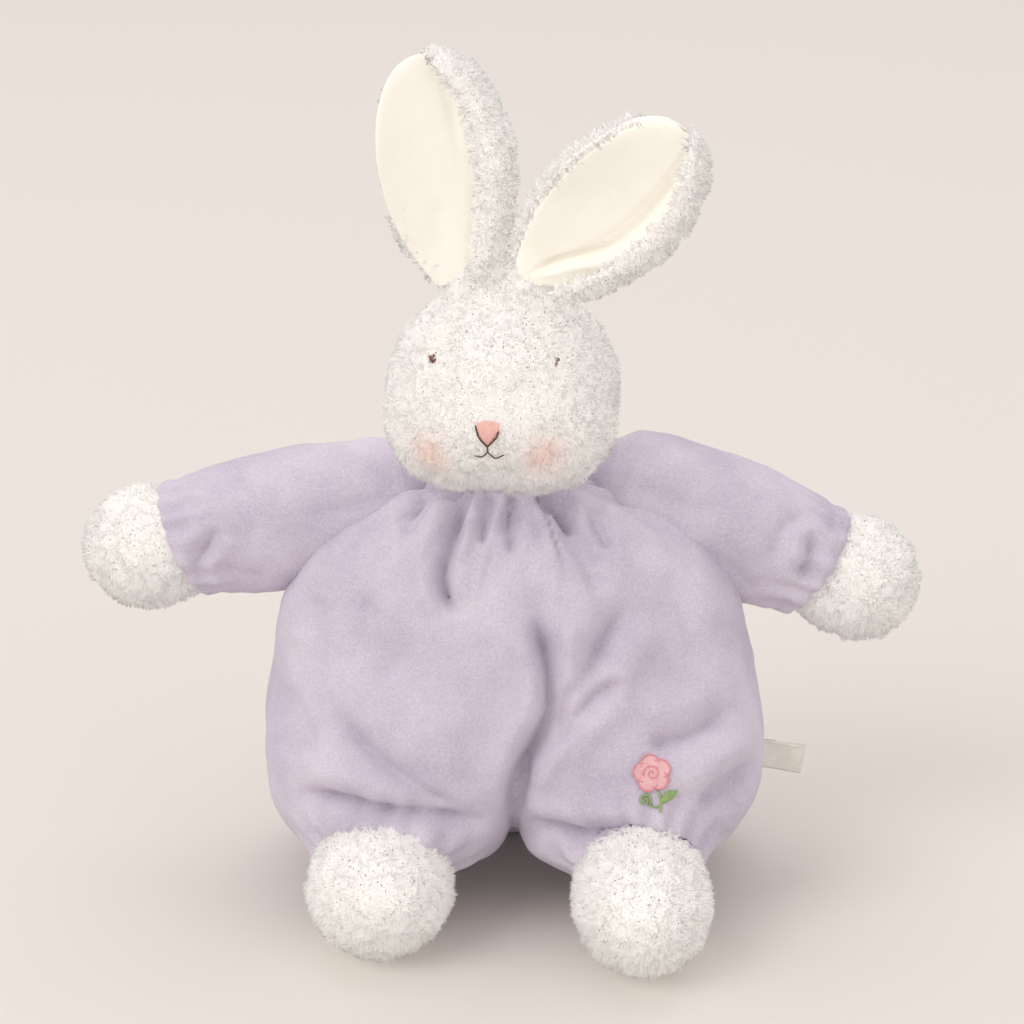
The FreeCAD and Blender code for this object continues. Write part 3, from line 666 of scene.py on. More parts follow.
# the same for the back, with lines as x and z
BACK_FOLDS = [
    ([(-20, 158), (-26, 128), (-22, 100)], 2.4, 3.0, 0.9),
    ([(14, 158), (22, 132), (34, 112)], 2.2, 3.0, 0.8),
    ([(-48, 150), (-58, 126), (-60, 104)], 1.6, 4.0, 0.5),
    ([(50, 150), (56, 120)], 1.6, 4.0, 0.5),
    ([(-78, 30), (-50, 22), (-24, 24)], 2.6, 3.8, 1.0),
    ([(76, 32), (52, 22), (24, 24)], 2.6, 3.8, 1.0),
    ([(-88, 62), (-62, 52), (-44, 54)], 1.8, 4.5, 0.6),
    ([(86, 58), (64, 50), (40, 56)], 1.8, 4.5, 0.6),
]
# the same for the sleeves, in the front view, by the sign of the side
SLEEVE_FOLDS = {
    -1: [
        ([(-117, -5), (-124, -16), (-127, -24)], 1.8, 2.6, 1.0),
        ([(-112, 14), (-104, 2), (-103, -12)], 0.9, 4.5, 0.3),
        ([(-40, 10), (-62, 2), (-86, -2)], 0.9, 6, 0.3),
        ([(-120, -19), (-108, -26), (-96, -27)], 1.0, 3.2, 0.4),
    ],
    1: [
        ([(121, -7), (119, -18), (115, -30)], 2.0, 2.6, 1.0),
        ([(46, 12), (64, 4), (84, 0)], 1.0, 5.5, 0.4),
        ([(118, 0), (108, -8), (104, -22)], 1.1, 3.6, 0.4),
        ([(70, -12), (88, -24), (98, -34)], 0.9, 5.0, 0.3),
    ],
}


def fold_moves(flat, facing, folds):
    """How far folds move points that fall at flat places, scaled by how they face the view."""
    moves = np.zeros(len(flat))
    for stops, depth, width, swell in folds:
        line = spline(stops, 30)
        nearest = np.full(len(flat), 1e9)
        along = np.zeros(len(flat))
        for i in range(len(line) - 1):
            start, span = line[i], line[i + 1] - line[i]
            t = np.clip(((flat - start) @ span) / (span @ span), 0, 1)
            distance = length(flat - (start + t[:, None] * span))
            closer = distance < nearest
            nearest[closer] = distance[closer]
            along[closer] = (i + t[closer]) / (len(line) - 1)
        taper = ramp(-0.02, 0.2, along) * ramp(1.02, 0.75, along)
        groove = -2.05 * depth / (1 + (nearest / (0.92 * width)) ** 2) ** 1.5
        moves += (groove + 2.0 * swell * bell(nearest - 2.6 * width, 1.4 * width)) * taper
    return moves * facing


# ------------------------------------------------------------------ cloth run
CLOTH_FRAMES = 20


def cloth_swell(points, faces, held):
    """How pressure moves the points of a cloth bag that is held by weights."""
    mesh = make_mesh("puff_tmp", points, faces)
    obj = bpy.data.objects.new("puff_tmp", mesh)
    scene = bpy.context.scene
    scene.collection.objects.link(obj)
    group = obj.vertex_groups.new(name="hold")
    for i, weight in enumerate(held):
        if weight > 0.02:
            group.add([i], float(weight), "REPLACE")
    modifier = obj.modifiers.new("Cloth", "CLOTH")
    settings = modifier.settings
    settings.quality = 6
    settings.mass = 0.25
    settings.use_pressure = True
    settings.uniform_pressure_force = 4.0
    settings.tension_stiffness = 18
    settings.compression_stiffness = 9
    settings.shear_stiffness = 5
    settings.bending_stiffness = 0.35
    settings.effector_weights.gravity = 0
    settings.vertex_group_mass = "hold"
    settings.pin_stiffness = 1.0
    settings.shrink_min = -0.035
    modifier.collision_settings.use_collision = False
    modifier.collision_settings.use_self_collision = False
    modifier.point_cache.frame_start, modifier.point_cache.frame_end = 1, CLOTH_FRAMES
    for number in range(1, CLOTH_FRAMES + 1):
        scene.frame_set(number)
    evaluated = obj.evaluated_get(bpy.context.evaluated_depsgraph_get())
    moved = np.empty(len(points) * 3, np.float32)
    evaluated.data.vertices.foreach_get("co", moved)
    moved = moved.reshape(-1, 3).astype(float) * 1000
    scene.frame_set(1)
    bpy.data.objects.remove(obj)
    bpy.data.meshes.remove(mesh)
    return moved - points


def carry(coarse, values, points):
    """Carry values from coarse points to fine ones, by the six nearest."""
    tree = KDTree(len(coarse))
    for i, place in enumerate(coarse):
        tree.insert(place, i)
    tree.balance()
    carried = np.zeros(len(points))
    for i, point in enumerate(points):
        total, weights = 0, 0
        for _, j, distance in tree.find_n(point, 6):
            weight = 1 / (distance * distance + 2.0)
            weights += weight
            total += values[j] * weight
        carried[i] = total / weights
    return carried


def cloth_wrinkles(points):
    """Wrinkles from a cloth run on a coarse copy of the suit."""
    coarse, faces = surface(suit, (-114, -134, -8), (114, 42, 182), 5.0)
    x, y, z = coarse.T
    # held at the neck, the ankles, the floor and the front of the crotch
    held = ramp(40, 26, length(coarse[:, :2] - NECK[:2])) * ramp(140, 155, z)
    for sign in (-1, 1):
        held = np.maximum(held, ramp(36, 27, length(coarse - ANKLE[sign])))
    held = np.maximum(held, ramp(8, 2, z))
    held = np.maximum(held, 0.7 * ramp(5, 1, np.abs(x)) * (y < -90) * (z < 70))
    swell = (cloth_swell(coarse, faces, held) * normals_of(coarse, faces)).sum(1)
    # keep the wrinkles, and take most of the general swell back out
    mean = neighbour_mean(faces, len(coarse))
    general = swell
    for _ in range(30):
        general = mean(general)
    kept = np.clip(swell - general, -3.5, 3.5)
    kept = kept + np.clip(general - np.median(general), -2, 2) * 0.5
    return carry(coarse, kept, points)


# ------------------------------------------------------------------ romper body and legs
def neck_gathers(points):
    """Pleats that fan out from the drawn-in neck, finer towards it."""
    offset = points - NECK
    angle = np.arctan2(offset[:, 0], -offset[:, 1])
    radius = length(offset * (1, 1, 0.55))
    wobble = 0.55 * flat_noise(3, angle * 9, radius * 0.05)
    pleats = np.cos(angle * 23 + wobble * 5) * 0.65 + np.cos(angle * 37 + 1.3 + wobble * 6) * 0.35
    height = 2.3 * ramp(80, 34, radius) * ramp(18, 26, radius) * ramp(118, 150, points[:, 2])
    return 1.35 * height * pleats * (0.65 + 0.35 * flat_noise(5, angle * 3))


def ankle_puckers(points, sign):
    """Puckers where a trouser end is drawn in."""
    along = unit(ANKLE[sign] - HIP[sign])
    offset = points - ANKLE[sign]
    first = unit(np.cross(along, (0, 0, 1)))
    second = np.cross(along, first)
    angle = np.arctan2(offset @ second, offset @ first)
    distance = length(offset)
    pucker = 1.3 * np.cos(angle * 17 + 1.2 * noise(offset, 14, 9))
    return pucker * ramp(46, 31, distance) * ramp(24, 27, distance)


def suit_shape():
    points, faces = surface(suit, (-112, -130, -6), (112, 40, 180), 1.25)
    normals = normals_of(points, faces)
    points = points + cloth_wrinkles(points)[:, None] * normals
    normals = normals_of(points, faces)
    x, y, z = points.T
    move = neck_gathers(points)
    for sign in (-1, 1):
        move += ankle_puckers(points, sign)
    move += fold_moves(front_view(points), ramp(0.12, 0.4, -(normals @ VIEW)), FRONT_FOLDS)
    move += fold_moves(points[:, [0, 2]], ramp(0.1, 0.4, normals[:, 1]), BACK_FOLDS)
    # sewn seams down the sides, the middle of the back and the front of the crotch
    seam = bell(y + 36, 1.3) * ramp(0.3, 0.7, np.abs(normals[:, 0])) * (z > 12)
    seam += bell(x, 1.3) * ramp(0.2, 0.6, normals[:, 1])
    crotch = bell(x, 1.4) * (y < -60) * ramp(66, 48, z)
    move -= 1.1 * seam + 0.9 * crotch
    # soft unevenness of stuffed cloth
    move += 1.3 * noise(points, 31, 11) + 0.85 * noise(points * (1, 1, 0.7), 13, 12)
    move += 0.32 * noise(points, 6, 13)
    points = relax(points + move[:, None] * normals, faces, 0.35)
    points[:, 2] = np.maximum(points[:, 2], 0.5)
    return points, faces


def slice_mesh(source, planes, name):
    """Keep the part of the mesh in front of each plane, and close the cuts."""
    bm = bmesh.new()
    bm.from_mesh(source)
    for place, normal in planes:
        bmesh.ops.bisect_plane(
            bm,
            geom=bm.verts[:] + bm.edges[:] + bm.faces[:],
            dist=1e-7,
            plane_co=Vector(place) * MM,
            plane_no=Vector(normal),
            clear_inner=True,
        )
        edges = [e for e in bm.edges if e.is_boundary]
        for edge in edges:
            edge.smooth = False
        caps = bmesh.ops.holes_fill(bm, edges=edges, sides=0)
        bmesh.ops.triangulate(bm, faces=caps["faces"])
    bmesh.ops.recalc_face_normals(bm, faces=bm.faces)
    mesh = bpy.data.meshes.new(name)
    bm.to_mesh(mesh)
    bm.free()
    mesh.polygons.foreach_set("use_smooth", np.ones(len(mesh.polygons), bool))
    mesh.update()
    return mesh


# the plane that parts the legs from the body, and its direction towards the legs
CUT_AT = np.array([0, -25.0, 0])
CUT_TO = np.array([0, -0.78, -0.625])
CUT_TO = CUT_TO / np.linalg.norm(CUT_TO)
BLEND_LENGTH = 0.042  # metres of trouser between the two ends given with each trouser piece


def build_romper(shape):
    whole = make_mesh("suit_whole", *shape)
    top = slice_mesh(whole, [(CUT_AT, -CUT_TO)], "romper_body")
    piece(
        "romper_body", top, VELOUR, "torso", "romper_velour",
        "romper_front_left", "romper_front_right", "romper_back_left", "romper_back_right",
        "torso_fill", "seat_panel", "seat_pellet_bag",
    )
    for side, sign in SIDES:
        planes = [(CUT_AT, CUT_TO), ((0, 0, 0), (sign, 0, 0))]
        mesh = slice_mesh(whole, planes, f"trouser_{side}")
        start = (HIP[sign] + CUT_TO * ((CUT_AT - HIP[sign]) @ CUT_TO)) * MM
        end = start + CUT_TO * BLEND_LENGTH
        piece(
            f"trouser_{side}", mesh, VELOUR, ("torso", f"leg_{side}", tuple(start), tuple(end)),
            "romper_velour", f"leg_outer_{side}", f"leg_inner_{side}", f"leg_fill_{side}",
        )
    bpy.data.meshes.remove(whole)


SUIT = suit_shape()
SUIT_TREE = BVHTree.FromPolygons([tuple(p) for p in SUIT[0]], [tuple(f) for f in SUIT[1][0].tolist()])
build_romper(SUIT)


# ------------------------------------------------------------------ neck
def gathering(name, centre, axis, ring_radius, radius, body, replaced):
    """A drawn-up gathering thread with its stitches."""
    axis = unit(axis)
    first = unit(np.cross(axis, (0.3, 0.9, 0.1)))
    angles = np.linspace(0, TURN, 240, endpoint=False)
    ring = (ring_radius + 0.35 * np.cos(angles * 17))[:, None]
    line = centre + ring * circle(angles, first, np.cross(axis, first))
    line = line + (0.3 * np.sin(angles * 11))[:, None] * axis
    shape = tube(line, radius * (1 + 0.18 * np.cos(angles * 60)), closed=True)
    piece(name, shape, GATHER, body, "gather_thread", replaced)


def stuffing(name, node, radius, seed, body):
    """A lumpy ball of fibrefill in place of a node."""
    centre = middle(node)
    shape = surface(
        lambda p: ellipsoid(p, centre, radius) + 0.8 * noise(p, radius * 0.5, seed),
        centre - radius * 1.4,
        centre + radius * 1.4,
        max(0.9, radius / 12),
    )
    piece(name, shape, FILL, body, "fibrefill", node)


def build_neck_band():
    """Seven stacked rings with a wavy edge."""
    angles = np.linspace(0, TURN, 180, endpoint=False)
    radius = 13.4 + 0.3 * np.cos(angles * 14)
    x, y = radius * np.cos(angles), radius * np.sin(angles)
    rings = [
        tube(middle("neck_stub") + np.stack([x, y, np.full(180, z)], -1), 1.15, closed=True)
        for z in (-7, -4.7, -2.4, 0, 2.4, 4.7, 7)
    ]
    piece("neck_band", join(rings), FILL, "neck_mid", "white_plush", "neck_stub")


gathering(
    "neck_gathering", middle("neck_gather_thread") + (0, 0, 0.2), (0, 0, 1),
    half_x("neck_gather_thread") - 2.2, 0.8, "torso", "neck_gather_thread",
)
stuffing("neck_stuffing", "neck_fill", 11.0, 21, "neck_base")
build_neck_band()

# ------------------------------------------------------------------ sleeves
# along points from shoulder to wrist, up and across square to it; end is the cuff's place
Arm = namedtuple("Arm", "shoulder wrist along up across end")
CUFF_BACK = {-1: 7.0, 1: 10.5}  # from the wrist joint back to the cuff
SLANT = 0.19  # how far the cuff leans along the arm, per mm of height
LIP = 2.4  # radius of the turned-over edge
# distance from the shoulder, radius, lift of the centre; drawn for an arm 77 long
SLEEVE_STATIONS = np.array([
    (-26.5, 2, 0), (-25, 8.5, 0), (-20, 18, 0), (-12, 24.5, 0), (0, 27.6, 0), (15, 28.4, 0.4),
    (30, 28.8, 0.8), (45, 28.4, 0.4), (58, 27.2, 0), (66, 25.6, 0), (72, 24.6, 0), (76, 24.2, 0),
])
# inside the cuff: how much narrower than the lip, how far back from the end
CUFF_INSIDE = ((0.5, 3.5), (1.2, 7), (4, 9), (8, 11), (13, 12), (17, 12.5))


def make_arm(side, sign):
    shoulder, wrist = JOINT[f"arm_{side}_raise"], JOINT[f"hand_{side}_bend"]
    along = unit(wrist - shoulder)
    up = unit(np.cross(along, (0, 1, 0)))
    up = up * np.sign(up[2])
    end = np.linalg.norm(wrist - shoulder) - CUFF_BACK[sign]
    return Arm(shoulder, wrist, along, up, np.cross(along, up), end)


ARMS = {sign: make_arm(side, sign) for side, sign in SIDES}


def sleeve_form(arm):
    """The plain sleeve, with its end turned over and in towards the hand."""
    end = arm.end
    place, radius, lift = SLEEVE_STATIONS.T
    place = np.where(place > 0, place * end / 77, place)
    stops = np.concatenate([np.linspace(-26.5, -18, 12), np.linspace(-18, end, 110)])
    rings = [(t, np.interp(t, place, lift), np.interp(t, place, radius)) for t in np.unique(stops)]
    for degrees in np.linspace(20, 180, 9):
        angle = math.radians(degrees)
        rings.append((end + LIP * math.sin(angle), 0, radius[-1] - LIP * (1 - math.cos(angle))))
    for narrower, back in CUFF_INSIDE:
        rings.append((end - back, 0, max(radius[-1] - 2 * LIP - narrower, 1.0)))
    angles = np.linspace(0, TURN, 168, endpoint=False)
    around = circle(angles, arm.up, arm.across)
    points, faces = closed_loft(
        [arm.shoulder + arm.along * t + arm.up * rise + r * around for t, rise, r in rings]
    )
    offset = points - arm.shoulder
    lean = SLANT * (offset @ arm.up) * ramp(end - 42, end - 6, offset @ arm.along)
    return points + lean[:, None] * arm.along, faces


def sleeve_shape(arm, sign):
    points, faces = sleeve_form(arm)
    normals = normals_of(points, faces)
    end = arm.end
    offset = points - arm.shoulder
    along, up = offset @ arm.along, offset @ arm.up
    t = along - SLANT * up * ramp(end - 42, end - 6, along)
    angle = np.arctan2(offset @ arm.across, up)
    from_axis = length(offset - along[:, None] * arm.along)
    # puckers and a groove where the cuff is drawn in
    near_end = ramp(end - 26, end - 4, t) * ramp(end + 4, end + 1, t)
    move = 0.95 * near_end * np.cos(angle * 15 + 2.2 * flat_noise(31 + sign, angle * 2))
    move -= 0.7 * bell(t - (end - 5.5), 2.6) * (from_axis > 20)
    # unevenness, folds and a fine groove under the arm
    move += 0.8 * noise(points, 24, 33 + sign) + 0.35 * noise(points, 9, 35 + sign)
    move += 0.12 * noise(points, 4, 37)
    facing = ramp(0.0, 0.4, -(normals @ VIEW))
    move += fold_moves(front_view(points), facing, SLEEVE_FOLDS[sign])
    move -= 0.9 * np.exp(-(((angle - math.pi) % TURN) ** 2) / 0.002)
    # the lip and the inside stay plain
    move *= ramp(end + 3.2, end + 1.2, t) * (from_axis > 17)
    return relax(points + move[:, None] * normals, faces, 0.3), faces


for side, sign in SIDES:
    arm = ARMS[sign]
    piece(
        f"sleeve_cloth_{side}", sleeve_shape(arm, sign), VELOUR, f"arm_{side}", "romper_velour",
        f"sleeve_{side}", f"arm_fill_{side}",
    )
    gathering(
        f"wrist_gathering_{side}", arm.shoulder + arm.along * (arm.end - 4.2), arm.along,
        21.4, 0.7, f"arm_{side}", f"wrist_gather_thread_{side}",
    )
    stuffing(
        f"shoulder_stuffing_{side}", f"shoulder_fill_{side}", 14.0, 41 + sign, f"shoulder_{side}"
    )


# ------------------------------------------------------------------ plush
# A strand has three rings of three points and a tip: ten points in all.
STRAND_QUADS = np.array(
    [[a + j, a + (j + 1) % 3, a + 3 + (j + 1) % 3, a + 3 + j] for a in (0, 3) for j in range(3)]
)
STRAND_TRIS = np.array([[6, 7, 9], [7, 8, 9], [8, 6, 9], [2, 1, 0]])
STRAND_U = np.array([0.15, 0.5, 0.85] * 3 + [0.5])
STRAND_V = np.array([0.12] * 3 + [0.45] * 3 + [0.75] * 3 + [0.9])
STRAND_HEIGHT = np.array([0] * 3 + [0.55] * 3 + [0.9] * 3 + [1.0])
PLUSH_CELL = 1.6


def no_blush(points):
    return np.zeros(len(points))


def scatter(rng, shape, count, region, mask):
    """Random roots on a shape, with their normals."""
    points, faces = shape
    normals = normals_of(points, faces)
    tris = triangles(faces)
    if region is not None:
        tris = tris[region(points[tris].mean(1))]
    first, second, third = (points[tris[:, k]] for k in range(3))
    area = length(np.cross(second - first, third - first))
    pick = np.searchsorted(np.cumsum(area) / area.sum(), rng.random(count * 2))
    u, v = rng.random(count * 2), rng.random(count * 2)
    over = u + v > 1
    u[over], v[over] = 1 - u[over], 1 - v[over]
    shares = np.stack([1 - u - v, u, v], -1)[..., None]
    roots = (points[tris[pick]] * shares).sum(1)
    normals = unit((normals[tris[pick]] * shares).sum(1))
    if mask is not None:
        kept = rng.random(len(roots)) < mask(roots)
        roots, normals = roots[kept], normals[kept]
    return roots[:count], normals[:count]


def add_strand_uvs(mesh, count):
    """A square grid with one cell for each strand."""
    cells = int(math.ceil(math.sqrt(count)))
    column = (np.arange(count) % cells) / cells
    row = (np.arange(count) // cells) / cells
    u, v = column[:, None] + STRAND_U / cells, row[:, None] + STRAND_V / cells
    uv = np.stack([u, v], -1).reshape(-1, 2)
    layer = mesh.uv_layers.new(name="OFBake")
    index = np.empty(len(mesh.loops), np.int32)
    mesh.loops.foreach_get("vertex_index", index)
    layer.data.foreach_set("uv", uv[index].astype(np.float32).ravel())


def fur(
    name, shape, body, count, pile, width, seed,
    grain=4.2, droop=0.0, region=None, mask=None, longer=None, blush=no_blush,
):
    """Closed pile strands, drawn together in small tufts, rooted on a shape.

    pile is the strand length and grain the tuft size. Region picks faces, mask gives the
    chance that a root is kept, and longer scales the length.
    """
    rng = np.random.default_rng(seed)
    roots, normals = scatter(rng, shape, count, region, mask)
    count = len(roots)

    # tufts: the pile leans up the slope of a fine noise, so neighbours meet at its crests
    def tuft(p):
        return noise(p, grain, seed) * 0.65 + noise(p, grain * 0.52, seed + 1) * 0.35

    def tangent(v):
        return v - normals * (v * normals).sum(1, keepdims=True)

    slope = tangent(gradient(tuft, roots, 0.35))
    curl = tangent(np.stack([noise(roots, grain * 1.6, seed + 3 + k) for k in range(3)], -1))
    lengths = pile * (0.78 + 0.3 * tuft(roots) + 0.22 * rng.random(count))
    if longer is not None:
        lengths = lengths * longer(roots)
    lengths = lengths[:, None]
    side = slope * grain * 0.495 + curl * 0.45 + rng.normal(0, 0.16, (count, 3))
    side[:, 2] -= droop
    side = side * np.minimum(1, 1.15 / np.maximum(length(side)[:, None], 1e-6))

    # three legs that bend over towards the side
    start_way = unit(normals + 0.35 * side)
    middle_way = unit(normals * 0.75 + 1.0 * side)
    tip_way = unit(normals * 0.35 + 1.35 * side + 0.5 * np.cross(normals, side))
    base = roots - normals * 0.7
    knee = roots - normals * 0.7 * 0 + start_way * lengths * 0.42 - normals * 0.0
    knee = roots + start_way * lengths * 0.42
    bend = knee + middle_way * lengths * 0.36
    tip = bend + tip_way * lengths * 0.3
    widths = width * (0.75 + 0.5 * rng.random(count))[:, None, None]
    first = unit(np.cross(start_way, unit(rng.normal(0, 1, (count, 3)))))
    second = np.cross(start_way, first)
    angles = np.array([0, 2, 4]) * math.pi / 3
    around = (
        np.cos(angles)[None, :, None] * first[:, None]
        + np.sin(angles)[None, :, None] * second[:, None]
    )
    rings = [
        centre[:, None] + around * widths * share
        for centre, share in ((base, 0.5), (knee, 0.5), (bend, 0.36))
    ]
    points = np.concatenate([*rings, tip[:, None]], 1)
    offsets = (np.arange(count) * 10)[:, None, None]
    faces = [(STRAND_QUADS + offsets).reshape(-1, 4), (STRAND_TRIS + offsets).reshape(-1, 3)]
    mesh = make_mesh(name, points.reshape(-1, 3), faces)
    add_strand_uvs(mesh, count)
    set_attribute(mesh, "strand", np.tile(STRAND_HEIGHT, count))
    set_attribute(mesh, "blush", np.repeat(blush(roots), 10))
    # pile shades mostly like the surface it covers
    outwards = np.concatenate([around, around, around, tip_way[:, None]], 1)
    shading = unit(0.35 * outwards + 1.0 * normals[:, None] + 0.38 * side[:, None])
    mesh.normals_split_custom_set_from_vertices(shading.reshape(-1, 3))
    obj = piece(name, mesh, PILE, body, "white_plush")
    # light soaks through a white pile: the backing under it casts the shadows
    obj.visible_shadow = False
    obj.visible_diffuse = False


def backing_piece(name, shape, body, replaced, blush=no_blush):
    mesh = make_mesh(name, *shape)
    set_attribute(mesh, "blush", blush(shape[0]))
    piece(name, mesh, BACKING, body, "white_plush", *replaced)


def backing(
    name, field, centre, reach, body, replaced, seed,
    cell=PLUSH_CELL, lump=0.5, blush=no_blush,
):
    """The lumpy fabric under a pile, meshed within reach of a centre."""
    points, faces = surface(field, centre - reach, centre + reach, cell)
    lumps = lump * noise(points, 5.0, seed + 50) + 0.4 * lump * noise(points, 2.4, seed + 51)
    shape = points + lumps[:, None] * normals_of(points, faces), faces
    backing_piece(name, shape, body, replaced, blush)
    return shape


# ------------------------------------------------------------------ head
HEAD_RADII = np.array([46.5, 43.5, 41.5]) - 4.2  # less the pile


def head_place(x, y, z):
    """A place given in the head's own axes."""
    return HEAD_AT + HEAD_TURN @ np.array([x, y, z], float)


EYE_AT = {sign: middle(f"eye_{side}") for side, sign in SIDES}
NOSE_AT = middle("nose_embroidery")
MOUTH_AT = middle("mouth_stitch")
BLUSH_AT = [head_place(-22.0, -33, -16.5), head_place(19.5, -34.5, -15)]
# thinned pile: centre, stretch of the axes, radius, sharpness of the edge, share taken away
BARE_SPOTS = (
    (NOSE_AT, (1, 0.6, 1), 5.6, 6, 0.96),
    (EYE_AT[-1], (1, 0.5, 1), 2.6, 4, 0.9),
    (EYE_AT[1], (1, 0.5, 1.4), 2.0, 4, 0.6),
    (MOUTH_AT, (0.75, 0.4, 1.5), 3.6, 4, 0.8),
)


def head_field(p):
    d = ellipsoid(p, HEAD_AT, HEAD_RADII, HEAD_TURN)
    # cheeks and muzzle
    for sign in (-1, 1):
        d = soft_min(d, ellipsoid(p, head_place(sign * 17, -13, -13), (24, 23, 21), HEAD_TURN), 9)
    d = soft_min(d, ellipsoid(p, head_place(0, -30, -9), (15, 10.5, 12), HEAD_TURN), 9)
    # dents at the eyes, and one above the nose on the left
    for sign in (-1, 1):
        d = d + 2.6 * blob(p, EYE_AT[sign], 60.0)
    return d + 2.0 * blob(p, head_place(7.5, -39, 8), 70.0)


def head_blush(p):
    return 0.6 * sum(blob(p, centre, 52.0) for centre in BLUSH_AT).clip(0, 1)


def head_mask(p):
    kept = np.ones(len(p))
    for centre, stretch, radius, power, share in BARE_SPOTS:
        kept *= 1 - share * np.exp(-((length((p - centre) * stretch) / radius) ** power))
    return kept


def head_longer(p):
    """Longer pile under the chin, shorter round the nose."""
    low = ramp(-22, -36, p[:, 2] - HEAD_AT[2])
    return (1 + 0.12 * low) * (1 - 0.35 * blob(p, NOSE_AT, 260.0))


def head_across(p):
    return (p - HEAD_AT) @ HEAD_TURN[:, 0]


def build_head():
    shape = backing(
        "head_plush", head_field, HEAD_AT, 55, "head", (*HEAD_NODES, "head_fill"), 1,
        blush=head_blush,
    )
    regions = {
        "right": lambda p: head_across(p) < -15,
        "middle": lambda p: np.abs(head_across(p)) <= 15,
        "left": lambda p: head_across(p) > 15,
    }
    for i, (part, region) in enumerate(regions.items()):
        fur(
            f"head_pile_{part}", shape, "head", count=19500, pile=4.9, width=0.62,
            seed=100 + i * 10, droop=0.12, region=region, mask=head_mask, longer=head_longer,
            blush=head_blush,
        )


# ------------------------------------------------------------------ hands, feet and tail
def build_hand(side, sign):
    arm = ARMS[sign]
    centre = arm.wrist + arm.along * 9.0

    def field(p):
        # the bulb, long along the arm, and the balls inside the cuff
        q = p - centre
        along = q @ arm.along
        radial = np.sqrt(np.maximum((q * q).sum(-1) - along * along, 0))
        d = soft_min(oval((along, radial), (22.6, 22.0)), ball(p, arm.wrist, 18.8), 6)
        return soft_min(d, ball(p, arm.wrist - arm.along * 7, 17.6), 4)

    def past_cuff(p):
        q = p - arm.shoulder
        return q @ arm.along - SLANT * (q @ arm.up)

    replaced = (f"hand_front_{side}", f"hand_back_{side}", f"hand_fill_{side}")
    shape = backing(f"hand_plush_{side}", field, centre, 38, f"hand_{side}", replaced, 5 + sign)
    fur(
        f"hand_pile_{side}", shape, f"hand_{side}", count=17500, pile=5.0, width=0.62,
        seed=200 + sign, droop=0.1, region=lambda p: past_cuff(p) > arm.end - 4.0,
        longer=lambda p: 0.3 + 0.7 * ramp(arm.end + 0.5, arm.end + 6.0, past_cuff(p)),
    )


FOOT_RADII = {-1: np.array([29.3, 32.0, 27.0]), 1: np.array([27.6, 35.0, 27.0])}


def build_foot(side, sign):
    ankle, radii = ANKLE[sign], FOOT_RADII[sign]
    low, high = (c * 1000 for c in node_box(f"foot_upper_{side}", f"foot_sole_{side}"))
    centre = np.array([(low[0] + high[0]) / 2, low[1] + radii[1], low[2] + radii[2]])

    def field(p):
        d = soft_min(ellipsoid(p, centre, radii - 3.9), ball(p, ankle, 21.0), 8)
        return soft_max(d, 1.6 - p[..., 2], 4)

    replaced = (f"foot_upper_{side}", f"foot_sole_{side}", f"foot_fill_{side}")
    shape = backing(f"foot_plush_{side}", field, centre, 46, f"foot_{side}", replaced, 8 + sign)
    along = unit(ankle - HIP[sign])
    fur(
        f"foot_pile_{side}", shape, f"foot_{side}", count=19800, pile=4.9, width=0.64,
        seed=300 + sign, droop=0.12,
        region=lambda p: ((p - ankle) @ along > -9.0) & (p[:, 2] > 3.2),
    )
    gathering(
        f"ankle_gathering_{side}", ankle - along * 5.5, along, 24.6, 0.8, f"leg_{side}",
        f"ankle_gather_thread_{side}",
    )


def build_tail():
    centre, radius = middle("tail_pompom"), half_x("tail_pompom")
    centre[1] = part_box("tail_pompom")[1][1] * 1000 - radius
    shape = backing(
        "tail_plush", lambda p: ball(p, centre, radius - 4.5), centre, 24, "torso",
        ("tail_pompom",), 12,
    )
    fur(
        "tail_pile", shape, "torso", count=9000, pile=5.4, width=0.66, seed=400,
        region=lambda p: p[:, 1] > centre[1] - 11,
    )


build_head()
for side, sign in SIDES:
    build_hand(side, sign)
for side, sign in SIDES:
    build_foot(side, sign)
build_tail()

# ------------------------------------------------------------------ ears
# An ear's own axes: z from root to tip, x across, and the lined face towards -y.
EAR_TIP, EAR_LOW = 95.5, -3.0
EAR_HALF_WIDTH = 25.5
CUP_RADIUS = 34.0  # curve of the lined face
EAR_ROWS, EAR_COLUMNS = ((84, 110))


def ear_half_width(z):
    u = (z - 10) / (EAR_TIP - 10)
    width = np.where(
        u > 0.52,
        EAR_HALF_WIDTH * np.sqrt(np.clip(1 - ((u - 0.52) / 0.48) ** 2, 0, 1)),
        EAR_HALF_WIDTH - 13.5 * np.clip((0.52 - u) / 0.52, 0, 1.4) ** 1.9,
    )
    return width * np.sqrt(np.clip(1 - ((EAR_LOW + 10 - z) / 10.0).clip(0, 1) ** 2, 0, 1))


def cup_root(x):
    return np.sqrt(CUP_RADIUS * CUP_RADIUS - np.clip(x, -30, 30) ** 2)


def cup_y(x):
    return -(CUP_RADIUS - cup_root(x)) * 0.75


